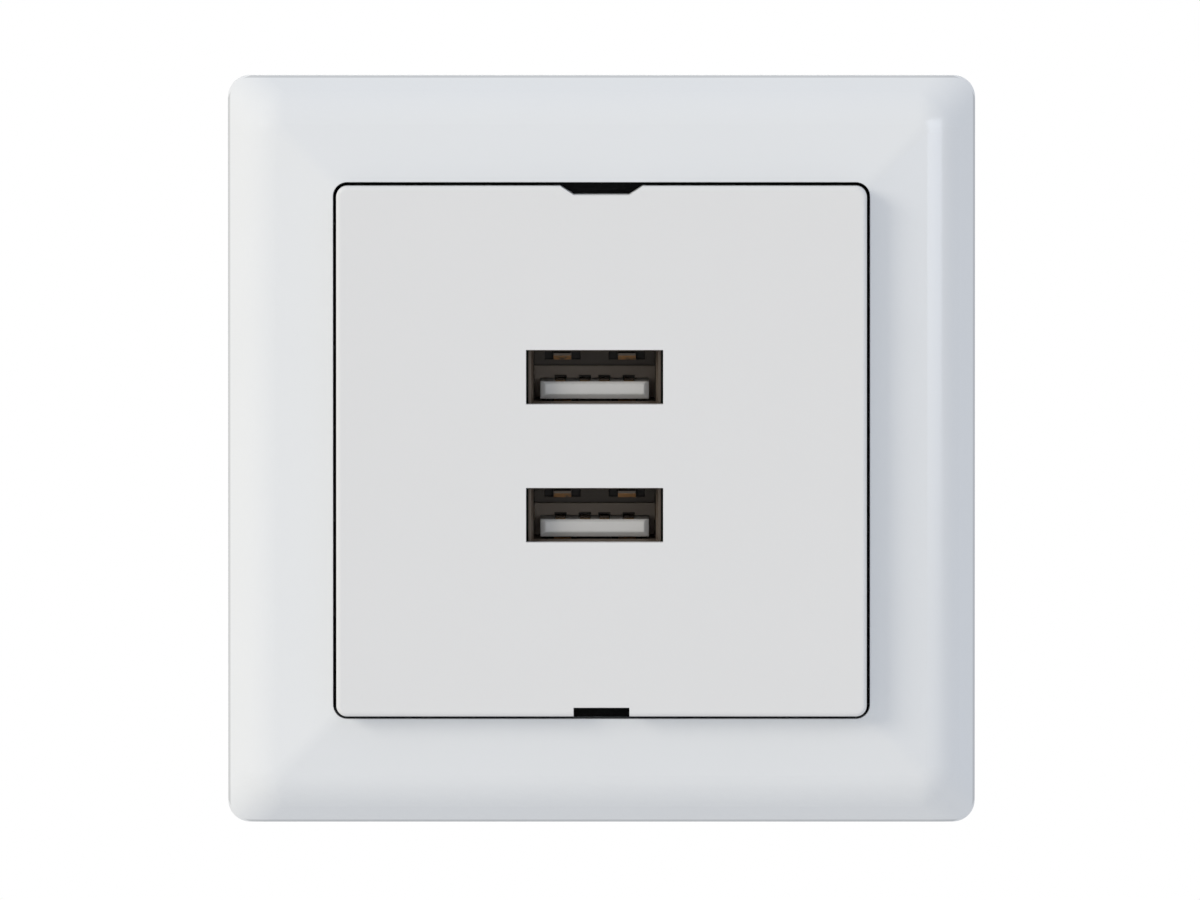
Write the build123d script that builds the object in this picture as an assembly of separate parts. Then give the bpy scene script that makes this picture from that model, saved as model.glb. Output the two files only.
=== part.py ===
from build123d import *
import os

# USB wall socket for a 60 mm wall box, in millimetres.
# +Z is up, +X is right seen from the front, and the front faces -Y.
# The origin is the middle of the wall face: y = 0 is the wall's surface.

# Outer frame
FRAME_SIDE = 76.5
FRAME_CORNER = 2.2
FRAME_RIM = 2.4
SLOPE_WIDTH = 2.9
RIDGE_DEPTH = 6.0
RIDGE_CORNER = 5.0
RIDGE_ROUND = 5.5
FRAME_DEPTH = 7.4
FRAME_WALL = 1.8
FRAME_FACE_WALL = 2.2
COLLAR_WALL = 1.5
LEDGE_WIDTH = 1.4
LEDGE_THICKNESS = 1.2
LEDGE_LIFT = 0.8
FRAME_RIB_THICKNESS = 1.0
FRAME_RIB_PLACE = 19.0
FRAME_RIB_LIFT = 0.6

# Centre plate
PLATE_CORNER = 1.1
PLATE_GAP = 0.35
PLATE_PROUD = 2.6
PLATE_THICKNESS = 2.0
PLATE_ROUND = 0.45
SKIRT_WALL = 1.3
SKIRT_SEAT_GAP = 0.1
SEAL_THICKNESS = 0.4
SEAL_GAP = 0.05
NOTCH_WIDTH = 5.7
NOTCH_FLARE = 1.4
NOTCH_DEPTH = 0.9
HOOK_PLACE = 14.0
HOOK_WIDTH = 6.0
HOOK_ARM = 1.2
HOOK_GAP = 0.25
HOOK_ROOT = 2.5
BARB_LENGTH = 0.9
BARB_THICKNESS = 0.7
BARB_GAP = 0.15

# USB-A receptacles
PORT_X = -0.7
PORT_Z = 0.55
PORT_PITCH = 14.1
PORT_WINDOW_WIDTH = 14.0
PORT_WINDOW_HEIGHT = 5.55
MOUTH_WIDTH = 12.5
MOUTH_HEIGHT = 5.12
SHELL_SHEET = 0.3
SHELL_GAP = 0.1
FUNNEL_FLARE = 0.25
FUNNEL_LENGTH = 0.7
SPRING_PLACE = 3.3
SPRING_WIDTH = 1.8
SPRING_SLOT = 0.7
SPRING_ROOT = 8.6
SPRING_BEND = 2.7
SPRING_TIP = 2.1
SPRING_DIP_TOP = 0.92
SPRING_DIP_BOTTOM = 0.1
SPRING_CURL = 0.42
LEG_WIDTH = 2.0
LEG_LENGTH = 2.6
PLUG_LENGTH = 11.75
PLUG_SPARE = 0.4
CARRIER_THICKNESS = 2.2
CARRIER_GAP = 0.05
CARRIER_SIDE = 0.7
CARRIER_STEP_HEIGHT = 1.75
CARRIER_STEP_DEPTH = 1.4
TONGUE_WIDTH = 11.1
TONGUE_THICKNESS = 1.78
TONGUE_TOP = -0.55
TONGUE_INSET = 0.9
TONGUE_NOSE = 0.5
CONTACT_PLACES = (-3.5, -1.0, 1.0, 3.5)
CONTACT_WIDTH = 1.0
CONTACT_SHEET = 0.25
CONTACT_PROUD = 0.05
CONTACT_INSET = 1.2
CONTACT_PIN = 0.6
CONTACT_SLOT_WIDTH = 1.25
CONTACT_SLOT_HEIGHT = 0.35
CONTACT_SLOT_DEPTH = 1.5
CONTACT_GAP = 0.05

# Support yoke
YOKE_THICKNESS = 1.0
YOKE_PLAY = 1.45
YOKE_CUT = 5.0
BOX_SCREW_SPACING = 60.0
BOX_SLOT_LENGTH = 6.0
BOX_SLOT_WIDTH = 3.6
EAR_WIDTH = 3.4
EAR_LENGTH = 5.0
EAR_CUT = 0.9

# Claws and their screws
CLAW_SCREW_OFFSET = 3.15
CLAW_LEVER = 3.0
CLAW_TAB_END = 1.2
CLAW_PIVOT_Y = 3.2
CLAW_SHEET = 1.2
CLAW_WIDTH = 5.2
CLAW_SIDE_GAP = 0.3
CLAW_REACH = 13.8
CLAW_PIN_RADIUS = 0.9
CLAW_PIN_GAP = 0.1
TOOTH_ROOT = 0.8
TOOTH_HEIGHT = 1.0
TOOTH_COUNT = 3
CLAW_SCREW_RADIUS = 1.5
CLAW_SCREW_GAP = 0.15
CLAW_SCREW_LIFT = 1.7
CLAW_SCREW_TIP = 0.45
CLAW_SCREW_TIP_GAP = 0.3
CLAW_HEAD_RADIUS = 2.6
CLAW_HEAD_HEIGHT = 2.0
CLAW_HEAD_ROOM = 0.7

# Electronics module: front cover and rear case, clipped together through the yoke
MODULE_SIDE = 39.0
MODULE_CUT = 3.0
MODULE_WALL = 1.5
NECK_GAP = 0.25
COVER_GAP = 1.4
COVER_NECK = 2.5
FLANGE_THICKNESS = 2.0
SHELL_ROOM = 0.2
CASE_REAR_WALL = 1.6
CASE_REAR_CUT = 1.2
POST_SIDE = 4.0
POST_INSET = 3.4
CLIP_PLACE = 10.0
CLIP_WIDTH = 6.0
CLIP_ARM = 1.3
CLIP_GAP = 0.15
CLIP_BARB = 0.8
CLIP_BARB_HEIGHT = 1.0
PAD_WIDTH = 10.0
PAD_LENGTH = 6.0
PAD_REACH = 2.8
VENT_COUNT = 5
VENT_LENGTH = 14.0
VENT_WIDTH = 1.3
VENT_PITCH = 3.0
VENT_Z = 6.0

# Boards and header
BOARD_THICKNESS = 1.6
BOARD_GAP = 0.4
BOARD_CUT = 2.5
BOARD_SPACING = 13.85
BOARD_POST = 1.6
HOLE_GAP = 0.15
HEADER_INSET = 2.6
HEADER_PITCH = 2.54
HEADER_PIN = 0.64
HEADER_PIN_END = 0.8
HEADER_COUNT = 4
HEADER_SPACER = 2.5

# Parts on the boards
PART_GAP = 0.5
EDGE_GAP = 0.3
CHIP_X = 12.0
CHIP_Z = 0.0
CHIP_SIZE = (3.9, 1.5, 4.9)
DIODE_X = -12.0
DIODE_Z = 0.0
DIODE_SIZE = (2.6, 2.1, 4.3)
CORE_WIDTH = 13.2
CORE_HEIGHT = 12.4
CORE_THICKNESS = 6.0
CORE_LEG = 1.9
CORE_CENTRE_LEG = 4.0
BOBBIN_GAP = 0.1
BOBBIN_WALL = 0.6
BOBBIN_FLANGE = 0.8
BOBBIN_FLANGE_DEPTH = 11.0
COIL_GAP = 0.5
COIL_ROUND = 1.2
TRANSFORMER_LIFT = 0.5
TRANSFORMER_PIN = 0.6
TRANSFORMER_PIN_PITCH = 3.0
INPUT_CAP_RADIUS = 4.0
INPUT_CAP_LENGTH = 11.6
OUTPUT_CAP_RADIUS = 3.1
OUTPUT_CAP_LENGTH = 11.0
BRIDGE_X = 0.0
BRIDGE_SIZE = (4.7, 2.5, 3.8)
FUSE_RADIUS = 1.4
FUSE_LENGTH = 6.0
CHOKE_RADIUS = 2.4
CHOKE_LENGTH = 7.0
DISC_RADIUS = 3.8
DISC_THICKNESS = 3.0

# Mains terminals
TERMINAL_PITCH = 12.0
TERMINAL_WALL = 1.6
TERMINAL_GAP = 0.15
TERMINAL_HEIGHT = 9.9
WIRE_FLOOR = 2.2
WIRE_ENTRY_WIDTH = 4.6
WIRE_FUNNEL = 0.7
WIRE_SPACE = 2.8
CAGE_INNER_WIDTH = 5.2
CAGE_SHEET = 0.9
CAGE_NUT = 2.2
CAGE_LENGTH = 5.0
CAGE_TRAVEL = 2.4
CAGE_GAP = 0.3
TERMINAL_SCREW_RADIUS = 1.75
TERMINAL_SCREW_GAP = 0.1
TERMINAL_HEAD_RADIUS = 2.75
TERMINAL_HEAD_HEIGHT = 2.5
TERMINAL_HEAD_ROOM = 0.35
TERMINAL_HEAD_INSET = 0.2
TERMINAL_WEB = 1.0
TERMINAL_WEB_GAP = 0.1
BAR_WIDTH = 4.0
BAR_SHEET = 1.0
BAR_NUT_GAP = 0.6
BAR_LEG_WIDTH = 1.6
BAR_LEG_END = 0.8
BAR_LEG_INSET = 1.5
SCREW_SLOT_WIDTH = 0.8
SCREW_SLOT_DEPTH = 1.1

# Two places this close count as one
SAME = 0.001

# Depths in y worked out from the sizes, from the wall forwards and backwards
YOKE_FRONT = -YOKE_THICKNESS
FLANGE_FRONT = YOKE_FRONT - FLANGE_THICKNESS
LEDGE_BACK = YOKE_FRONT - LEDGE_LIFT
LEDGE_FRONT = LEDGE_BACK - LEDGE_THICKNESS
SEAL_FRONT = LEDGE_FRONT - SEAL_THICKNESS
SKIRT_BACK = SEAL_FRONT - SKIRT_SEAT_GAP
PLATE_FRONT = -FRAME_DEPTH - PLATE_PROUD
PLATE_BACK = PLATE_FRONT + PLATE_THICKNESS
AHEAD = 2 * PLATE_FRONT
COVER_FRONT = PLATE_BACK + COVER_GAP
COVER_INSIDE = COVER_FRONT + MODULE_WALL
CASE_FRONT = COVER_NECK
SHELL_FRONT = PLATE_BACK + SHELL_GAP
CARRIER_FRONT = PLATE_FRONT + PLUG_LENGTH + PLUG_SPARE
USB_BOARD_FRONT = CARRIER_FRONT + CARRIER_THICKNESS
USB_BOARD_BACK = USB_BOARD_FRONT + BOARD_THICKNESS
POWER_BOARD_FRONT = USB_BOARD_BACK + BOARD_SPACING
POWER_BOARD_BACK = POWER_BOARD_FRONT + BOARD_THICKNESS
CASE_INSIDE = POWER_BOARD_BACK + BOARD_POST
CASE_BACK = CASE_INSIDE + CASE_REAR_WALL

# Sides and spacings in x and z: the claw screws stand midway between module and plate skirt
PLATE_SIDE = MODULE_SIDE + 4 * CLAW_SCREW_OFFSET + 2 * SKIRT_WALL
WINDOW_SIDE = PLATE_SIDE + 2 * PLATE_GAP
WINDOW_CORNER = PLATE_CORNER + PLATE_GAP
COLLAR_SIDE = WINDOW_SIDE + 2 * COLLAR_WALL
SKIRT_INSIDE = PLATE_SIDE - 2 * SKIRT_WALL
FLANGE_SIDE = SKIRT_INSIDE - 2 * (HOOK_ARM + HOOK_GAP)
YOKE_SIDE = FRAME_SIDE - 2 * (FRAME_WALL + YOKE_PLAY)
NECK_SIDE = MODULE_SIDE + 2 * NECK_GAP
MODULE_INSIDE = MODULE_SIDE - 2 * MODULE_WALL
MODULE_INSIDE_CUT = MODULE_CUT - MODULE_WALL * (2 - 2**0.5)
BOARD_SIDE = MODULE_INSIDE - 2 * BOARD_GAP
POST_PLACE = MODULE_INSIDE / 2 - POST_INSET
HEADER_Z = BOARD_SIDE / 2 - HEADER_INSET
CLAW_SCREW_X = MODULE_SIDE / 2 + CLAW_SCREW_OFFSET
CLAW_PIVOT_X = CLAW_SCREW_X + CLAW_LEVER
SHELL_WIDTH = MOUTH_WIDTH + 2 * SHELL_SHEET
SHELL_HEIGHT = MOUTH_HEIGHT + 2 * SHELL_SHEET
CARRIER_WIDTH = MOUTH_WIDTH - 2 * CARRIER_GAP
TENON_WIDTH = CARRIER_WIDTH - 2 * CARRIER_SIDE
CLIP_INSIDE = MODULE_SIDE / 2 + CLIP_GAP
CLIP_OUTSIDE = CLIP_INSIDE + CLIP_ARM
PORT_ZS = {"upper": PORT_Z + PORT_PITCH / 2, "lower": PORT_Z - PORT_PITCH / 2}

# Terminal places: the clamp's stack runs from the screw head at the back to the cage floor
HEAD_FRONT = CASE_BACK - TERMINAL_HEAD_INSET - TERMINAL_HEAD_HEIGHT
WEB_BACK = HEAD_FRONT - TERMINAL_WEB_GAP
WEB_FRONT = WEB_BACK - TERMINAL_WEB
CAGE_BACK = WEB_FRONT - CAGE_GAP - CAGE_TRAVEL
NUT_FRONT = CAGE_BACK - CAGE_NUT
BAR_BACK = NUT_FRONT - BAR_NUT_GAP
BAR_FRONT = BAR_BACK - BAR_SHEET
FLOOR_BACK = BAR_FRONT - WIRE_SPACE
CAGE_FRONT = FLOOR_BACK - CAGE_SHEET
CELL_FRONT = CAGE_FRONT - CAGE_GAP
TERMINAL_FRONT = CELL_FRONT - TERMINAL_WALL
CAGE_WIDTH = CAGE_INNER_WIDTH + 2 * CAGE_SHEET
CELL_WIDTH = CAGE_WIDTH + 2 * CAGE_GAP
TERMINAL_WIDTH = TERMINAL_PITCH + CELL_WIDTH + 2 * TERMINAL_WALL
TERMINAL_BOTTOM = -MODULE_SIDE / 2 + TERMINAL_GAP
TERMINAL_TOP = TERMINAL_BOTTOM + TERMINAL_HEIGHT
CAGE_BOTTOM = TERMINAL_BOTTOM + WIRE_FLOOR + CAGE_GAP
TERMINAL_SCREW_Z = CAGE_BOTTOM + CAGE_LENGTH / 2
POWER_BOARD_BOTTOM = TERMINAL_TOP + 2 * BOARD_GAP
BAR_LEG_Z = POWER_BOARD_BOTTOM + BAR_LEG_INSET
TERMINAL_XS = {"live": -TERMINAL_PITCH / 2, "neutral": TERMINAL_PITCH / 2}

# Places on the boards: cans beside the transformer, small parts along the lower edge
BOARD_EDGE = BOARD_SIDE / 2 - EDGE_GAP
LOWER_EDGE = POWER_BOARD_BOTTOM + EDGE_GAP
CORE_WINDOW = (CORE_WIDTH - CORE_CENTRE_LEG) / 2 - CORE_LEG
COIL_BUILD = CORE_WINDOW - BOBBIN_GAP - BOBBIN_WALL - COIL_GAP
CORE_X = INPUT_CAP_RADIUS - OUTPUT_CAP_RADIUS
CORE_Z = HEADER_Z - HEADER_SPACER / 2 - PART_GAP - CORE_HEIGHT / 2
INPUT_CAP_X = CORE_X - CORE_WIDTH / 2 - PART_GAP - INPUT_CAP_RADIUS
INPUT_CAP_UPPER_Z = BOARD_EDGE - INPUT_CAP_RADIUS
INPUT_CAP_LOWER_Z = INPUT_CAP_UPPER_Z - 2 * INPUT_CAP_RADIUS - PART_GAP
OUTPUT_CAP_X = CORE_X + CORE_WIDTH / 2 + PART_GAP + OUTPUT_CAP_RADIUS
OUTPUT_CAP_Z = BOARD_EDGE - OUTPUT_CAP_RADIUS
DISC_Z = OUTPUT_CAP_Z - OUTPUT_CAP_RADIUS - PART_GAP - DISC_RADIUS
CHOKE_Z = LOWER_EDGE + CHOKE_RADIUS
BRIDGE_Z = LOWER_EDGE + BRIDGE_SIZE[2] / 2
FUSE_X = FUSE_LENGTH / 2 - BOARD_EDGE
FUSE_Z = LOWER_EDGE + FUSE_RADIUS


def block(x, y, z):
    """Box between a low and a high value on each axis."""
    centre = Pos((x[0] + x[1]) / 2, (y[0] + y[1]) / 2, (z[0] + z[1]) / 2)
    return centre * Box(x[1] - x[0], y[1] - y[0], z[1] - z[0])


def about(middle, width):
    """Low and high value of a width centred on a place."""
    return (middle - width / 2, middle + width / 2)


def section(outline, y):
    """Outline in x and z, set at a depth."""
    return Plane.XZ.offset(-y) * outline


def carried(outline, front, back):
    """Outline in x and z, carried from one depth to another."""
    return extrude(section(outline, back), amount=back - front)


def square(side, corner):
    """Square outline with round corners."""
    return RectangleRounded(side, side, corner)


def plain_square(side):
    return Rectangle(side, side)


def cut_square(side, cut):
    """Square outline with its corners cut off at 45 degrees."""
    return chamfer(Rectangle(side, side).vertices(), cut)


def rod(x, z, radius, front, back):
    return carried(Pos(x, z) * Circle(radius), front, back)


def turned(points):
    """Solid of revolution about the y axis from (radius, y) points."""
    return revolve(Polygon(*points, align=None), Axis.Y)


def edges_at(solid, y):
    """Edges that lie wholly at one depth."""

    def lies_at(edge):
        box = edge.bounding_box()
        return abs(box.min.Y - y) < SAME and abs(box.max.Y - y) < SAME

    return solid.edges().filter_by(lies_at)


def crossed(half_profile, ridge_round):
    """Square body whose four sides all have one section, from (half width, y) points."""
    left = [(-x, y) for x, y in reversed(half_profile)]
    outline = Polygon(*half_profile, *left, align=None)
    if ridge_round:
        ridges = [v for v in outline.vertices() if abs(v.Y + RIDGE_DEPTH) < SAME]
        outline = fillet(ridges, ridge_round)
    run = extrude(outline, FRAME_SIDE, both=True)
    return run & (Rot(0, 90, 0) * run)


def mitre_edges(solid):
    """Edges along the diagonals of a crossed body."""

    def on_diagonal(edge):
        points = (edge @ 0, edge @ 0.5, edge @ 1)
        rising = abs(points[0].Y - points[2].Y) > SAME
        return rising and all(abs(abs(point.X) - abs(point.Z)) < SAME for point in points)

    return solid.edges().filter_by(on_diagonal)


def frame_skin():
    """Outside of the frame: rim, outer slope, rounded ridge and rising front face."""
    ridge = FRAME_SIDE / 2 - SLOPE_WIDTH
    inner = WINDOW_SIDE / 2 - COLLAR_WALL
    slope = SLOPE_WIDTH / (RIDGE_DEPTH - FRAME_RIM)
    rise = (FRAME_DEPTH - RIDGE_DEPTH) / (ridge - WINDOW_SIDE / 2)
    profile = [
        (ridge + slope * RIDGE_DEPTH, 0),
        (ridge, -RIDGE_DEPTH),
        (inner, -FRAME_DEPTH - rise * COLLAR_WALL),
    ]
    skin = crossed(profile, RIDGE_ROUND)
    skin = fillet(mitre_edges(skin), RIDGE_CORNER)
    return skin & carried(square(FRAME_SIDE, FRAME_CORNER), AHEAD, 0)


def frame_cavity():
    """Hollow behind the frame's walls, open to the wall face."""
    rim = FRAME_SIDE / 2 - FRAME_WALL
    profile = [
        (rim, 0),
        (rim, -FRAME_RIM + FRAME_WALL / 2),
        (FRAME_SIDE / 2 - SLOPE_WIDTH - FRAME_WALL / 2, -RIDGE_DEPTH + FRAME_WALL),
        (COLLAR_SIDE / 2, -FRAME_DEPTH + FRAME_FACE_WALL),
    ]
    return crossed(profile, 0)


def frame_ribs():
    """Stiffening ribs between the collar and the outer wall, two on each side."""
    inner = WINDOW_SIDE / 2 + COLLAR_WALL / 2
    outer = FRAME_SIDE / 2 - FRAME_WALL / 2
    front = -RIDGE_DEPTH + FRAME_WALL / 2
    back = YOKE_FRONT - FRAME_RIB_LIFT
    rib = block(about(FRAME_RIB_PLACE, FRAME_RIB_THICKNESS), (front, back), (inner, outer))
    ribs = [Rot(0, angle, 0) * rib for angle in (0, 90, 180, 270)]
    ribs += [mirror(each, about=Plane.XY if i % 2 else Plane.YZ) for i, each in enumerate(ribs)]
    return ribs


def outer_frame():
    body = frame_skin() - frame_cavity()
    body += carried(plain_square(COLLAR_SIDE), -RIDGE_DEPTH, LEDGE_BACK)
    body -= carried(square(WINDOW_SIDE, WINDOW_CORNER), AHEAD, LEDGE_FRONT)
    body -= carried(plain_square(WINDOW_SIDE - 2 * LEDGE_WIDTH), LEDGE_FRONT, 0)
    skin = frame_skin()
    for rib in frame_ribs():
        body += rib & skin
    return body


def plate_seal():
    """Flat ring on the frame's ledge, which closes the gap round the plate."""
    outline = square(WINDOW_SIDE - 2 * SEAL_GAP, WINDOW_CORNER - SEAL_GAP)
    outline -= plain_square(WINDOW_SIDE - 2 * LEDGE_WIDTH)
    return carried(outline, SEAL_FRONT, LEDGE_FRONT)


def notch(flare):
    """Prising notch in the plate's top edge, right through the skirt, wider at its mouth by the flare."""
    edge = PLATE_SIDE / 2
    floor = edge - NOTCH_DEPTH
    outside = edge + NOTCH_DEPTH
    half = NOTCH_WIDTH / 2
    mouth = half + 2 * flare
    outline = Polygon((-half, floor), (half, floor), (mouth, outside), (-mouth, outside), align=None)
    return carried(outline, PLATE_FRONT, SKIRT_BACK)


def plate_hook():
    """Right-hand snap hook: an arm on the skirt with a barb behind the module's flange."""
    arm = (FLANGE_SIDE / 2 + HOOK_GAP, PLATE_SIDE / 2 - SKIRT_WALL / 2)
    foot = YOKE_FRONT - BARB_GAP
    width = about(0, HOOK_WIDTH)
    root = block(arm, (SKIRT_BACK - HOOK_ROOT, SKIRT_BACK), width)
    inner_arm = (arm[0], SKIRT_INSIDE / 2)
    hook = root + block(inner_arm, (SKIRT_BACK - HOOK_ROOT, foot), width)
    barb = (arm[0] - HOOK_GAP - BARB_LENGTH, arm[0])
    return hook + block(barb, (foot - BARB_THICKNESS, foot), width)


def centre_plate():
    plate = carried(square(PLATE_SIDE, PLATE_CORNER), PLATE_FRONT, SKIRT_BACK)
    plate = fillet(edges_at(plate, PLATE_FRONT), PLATE_ROUND)
    plate -= carried(plain_square(SKIRT_INSIDE), PLATE_BACK, SKIRT_BACK)
    window = Rectangle(PORT_WINDOW_WIDTH, PORT_WINDOW_HEIGHT)
    for z in PORT_ZS.values():
        plate -= carried(Pos(PORT_X, z) * window, PLATE_FRONT, PLATE_BACK)
    plate -= notch(NOTCH_FLARE)
    plate -= mirror(notch(0), about=Plane.XY)
    for z in (-HOOK_PLACE, HOOK_PLACE):
        hook = Pos(0, 0, z) * plate_hook()
        plate += hook
        plate += mirror(hook, about=Plane.YZ)
    return plate


def claw_ear():
    """Right-hand ear folded back from the yoke, with the claw's pivot hole."""
    low = CLAW_WIDTH / 2 + CLAW_SIDE_GAP
    span = about(CLAW_PIVOT_X, EAR_WIDTH)
    ear = block(span, (YOKE_FRONT, EAR_LENGTH), (low, low + YOKE_THICKNESS))
    ear = chamfer(edges_at(ear, EAR_LENGTH).filter_by(Axis.Z), EAR_CUT)
    hole = Cylinder(CLAW_PIN_RADIUS + CLAW_PIN_GAP, 2 * (low + YOKE_THICKNESS))
    return ear - Pos(CLAW_PIVOT_X, CLAW_PIVOT_Y, 0) * hole


def support_yoke():
    plate = carried(cut_square(YOKE_SIDE, YOKE_CUT), YOKE_FRONT, 0)
    cuts = cut_square(NECK_SIDE, MODULE_CUT)
    clip_window = Rectangle(CLIP_WIDTH + 2 * NECK_GAP, CLIP_OUTSIDE + NECK_GAP)
    slot = SlotOverall(BOX_SLOT_LENGTH, BOX_SLOT_WIDTH)
    fold = CLAW_WIDTH / 2 + CLAW_SIDE_GAP + YOKE_THICKNESS
    ear_window = Rectangle(EAR_WIDTH, EAR_LENGTH)
    for side in (-1, 1):
        cuts += Pos(side * BOX_SCREW_SPACING / 2, 0) * slot
        cuts += Pos(0, side * BOX_SCREW_SPACING / 2) * Rot(0, 0, 90) * slot
        cuts += Pos(side * CLAW_SCREW_X, 0) * Circle(CLAW_SCREW_RADIUS + CLAW_SCREW_GAP)
        for z in (-1, 1):
            cuts += Pos(side * CLAW_PIVOT_X, z * (fold + EAR_LENGTH / 2)) * ear_window
            cuts += Pos(side * CLIP_PLACE, z * (CLIP_OUTSIDE + NECK_GAP) / 2) * clip_window
    plate -= carried(cuts, YOKE_FRONT, 0)
    for ear in (claw_ear(), mirror(claw_ear(), about=Plane.XY)):
        plate += ear
        plate += mirror(ear, about=Plane.YZ)
    return plate


def claw():
    """Right-hand claw: lever tab, pivot pins and a long arm that ends in teeth."""
    width = about(0, CLAW_WIDTH)
    front = CLAW_PIVOT_Y - CLAW_SHEET / 2
    end = CLAW_PIVOT_Y + CLAW_REACH
    outside = CLAW_PIVOT_X + CLAW_SHEET / 2
    body = block(about(CLAW_PIVOT_X, CLAW_SHEET), (front, end), width)
    tab = (CLAW_SCREW_X - CLAW_TAB_END, outside)
    body += block(tab, (front, front + CLAW_SHEET), width)
    pitch = CLAW_WIDTH / TOOTH_COUNT
    root = outside + TOOTH_ROOT
    outline = [(CLAW_PIVOT_X, CLAW_WIDTH / 2), (CLAW_PIVOT_X, -CLAW_WIDTH / 2)]
    for i in range(TOOTH_COUNT):
        low = -CLAW_WIDTH / 2 + i * pitch
        outline += [(root, low), (root + TOOTH_HEIGHT, low + pitch / 2)]
    outline.append((root, CLAW_WIDTH / 2))
    body += carried(Polygon(*outline, align=None), end - CLAW_SHEET, end)
    pin_length = CLAW_WIDTH + 2 * (CLAW_SIDE_GAP + YOKE_THICKNESS)
    return body + Pos(CLAW_PIVOT_X, CLAW_PIVOT_Y, 0) * Cylinder(CLAW_PIN_RADIUS, pin_length)


def claw_screw():
    """Right-hand claw screw: slotted head in front of the yoke, point against the lever tab."""
    seat = YOKE_FRONT - CLAW_SCREW_LIFT
    top = seat - CLAW_HEAD_HEIGHT
    tip = CLAW_PIVOT_Y - CLAW_SHEET / 2 - CLAW_SCREW_TIP_GAP
    cone = CLAW_SCREW_RADIUS - CLAW_SCREW_TIP
    screw = turned(
        [
            (0, top),
            (CLAW_HEAD_RADIUS, top),
            (CLAW_HEAD_RADIUS, seat),
            (CLAW_SCREW_RADIUS, seat),
            (CLAW_SCREW_RADIUS, tip - cone),
            (CLAW_SCREW_TIP, tip),
            (0, tip),
        ]
    )
    across = about(0, 2 * CLAW_HEAD_RADIUS)
    screw -= block(across, (top, top + SCREW_SLOT_DEPTH), about(0, SCREW_SLOT_WIDTH))
    return Pos(CLAW_SCREW_X, 0, 0) * screw


def module_front():
    """Front cover: window wall for the receptacles, flange on the yoke and a neck through it."""
    cover = carried(cut_square(FLANGE_SIDE, MODULE_CUT), FLANGE_FRONT, YOKE_FRONT)
    clip = Rectangle(CLIP_WIDTH + 2 * NECK_GAP, CLIP_OUTSIDE + NECK_GAP)
    head_room = CLAW_HEAD_RADIUS + CLAW_HEAD_ROOM
    barb = (FLANGE_SIDE / 2 - BARB_LENGTH - HOOK_GAP, FLANGE_SIDE / 2)
    barb_front = YOKE_FRONT - 2 * BARB_GAP - BARB_THICKNESS
    for side in (-1, 1):
        notch_span = sorted((side * MODULE_SIDE / 2, side * FLANGE_SIDE / 2))
        cover -= block(notch_span, (FLANGE_FRONT, YOKE_FRONT), about(0, 2 * head_room))
        pocket_span = sorted((side * barb[0], side * barb[1]))
        for z in (-1, 1):
            pocket = about(z * HOOK_PLACE, HOOK_WIDTH + 2 * HOOK_GAP)
            cover -= block(pocket_span, (barb_front, YOKE_FRONT), pocket)
            opening = Pos(side * CLIP_PLACE, z * (CLIP_OUTSIDE + NECK_GAP) / 2) * clip
            cover -= carried(opening, FLANGE_FRONT, YOKE_FRONT)
    cover += carried(cut_square(MODULE_SIDE, MODULE_CUT), COVER_FRONT, CASE_FRONT)
    cover -= carried(cut_square(MODULE_INSIDE, MODULE_INSIDE_CUT), COVER_INSIDE, CASE_FRONT)
    reach = 2 * (FUNNEL_FLARE + SHELL_ROOM)
    window = Rectangle(SHELL_WIDTH + reach, SHELL_HEIGHT + reach)
    for z in PORT_ZS.values():
        cover -= carried(Pos(PORT_X, z) * window, COVER_FRONT, COVER_INSIDE)
    for x in (-POST_PLACE, POST_PLACE):
        for z in (-POST_PLACE, POST_PLACE):
            post = (COVER_INSIDE, USB_BOARD_FRONT)
            cover += block(about(x, POST_SIDE), post, about(z, POST_SIDE))
    return cover


def terminal_recess():
    """Space in the case for the terminal block, open at the bottom and the back."""
    width = about(0, TERMINAL_WIDTH + 2 * TERMINAL_GAP)
    depth = (TERMINAL_FRONT - TERMINAL_GAP, CASE_BACK)
    return block(width, depth, (-MODULE_SIDE / 2, TERMINAL_TOP + TERMINAL_GAP))


def case_clip():
    """Upper clip of the case: a pad against the yoke and an arm hooked over the cover's flange."""
    inside = MODULE_SIDE / 2 - MODULE_WALL / 2
    pad = block(about(0, PAD_WIDTH), (0, PAD_LENGTH), (CLIP_INSIDE, MODULE_SIDE / 2 + PAD_REACH))
    pad += block(about(0, PAD_WIDTH), (CASE_FRONT, PAD_LENGTH), (inside, CLIP_INSIDE))
    seat = FLANGE_FRONT - CLIP_GAP
    hook = (seat - CLIP_BARB_HEIGHT, seat)
    width = about(0, CLIP_WIDTH)
    arm = block(width, (hook[0], PAD_LENGTH), (CLIP_INSIDE, CLIP_OUTSIDE))
    return pad + arm + block(width, hook, (CLIP_OUTSIDE, CLIP_OUTSIDE + CLIP_BARB))


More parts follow.
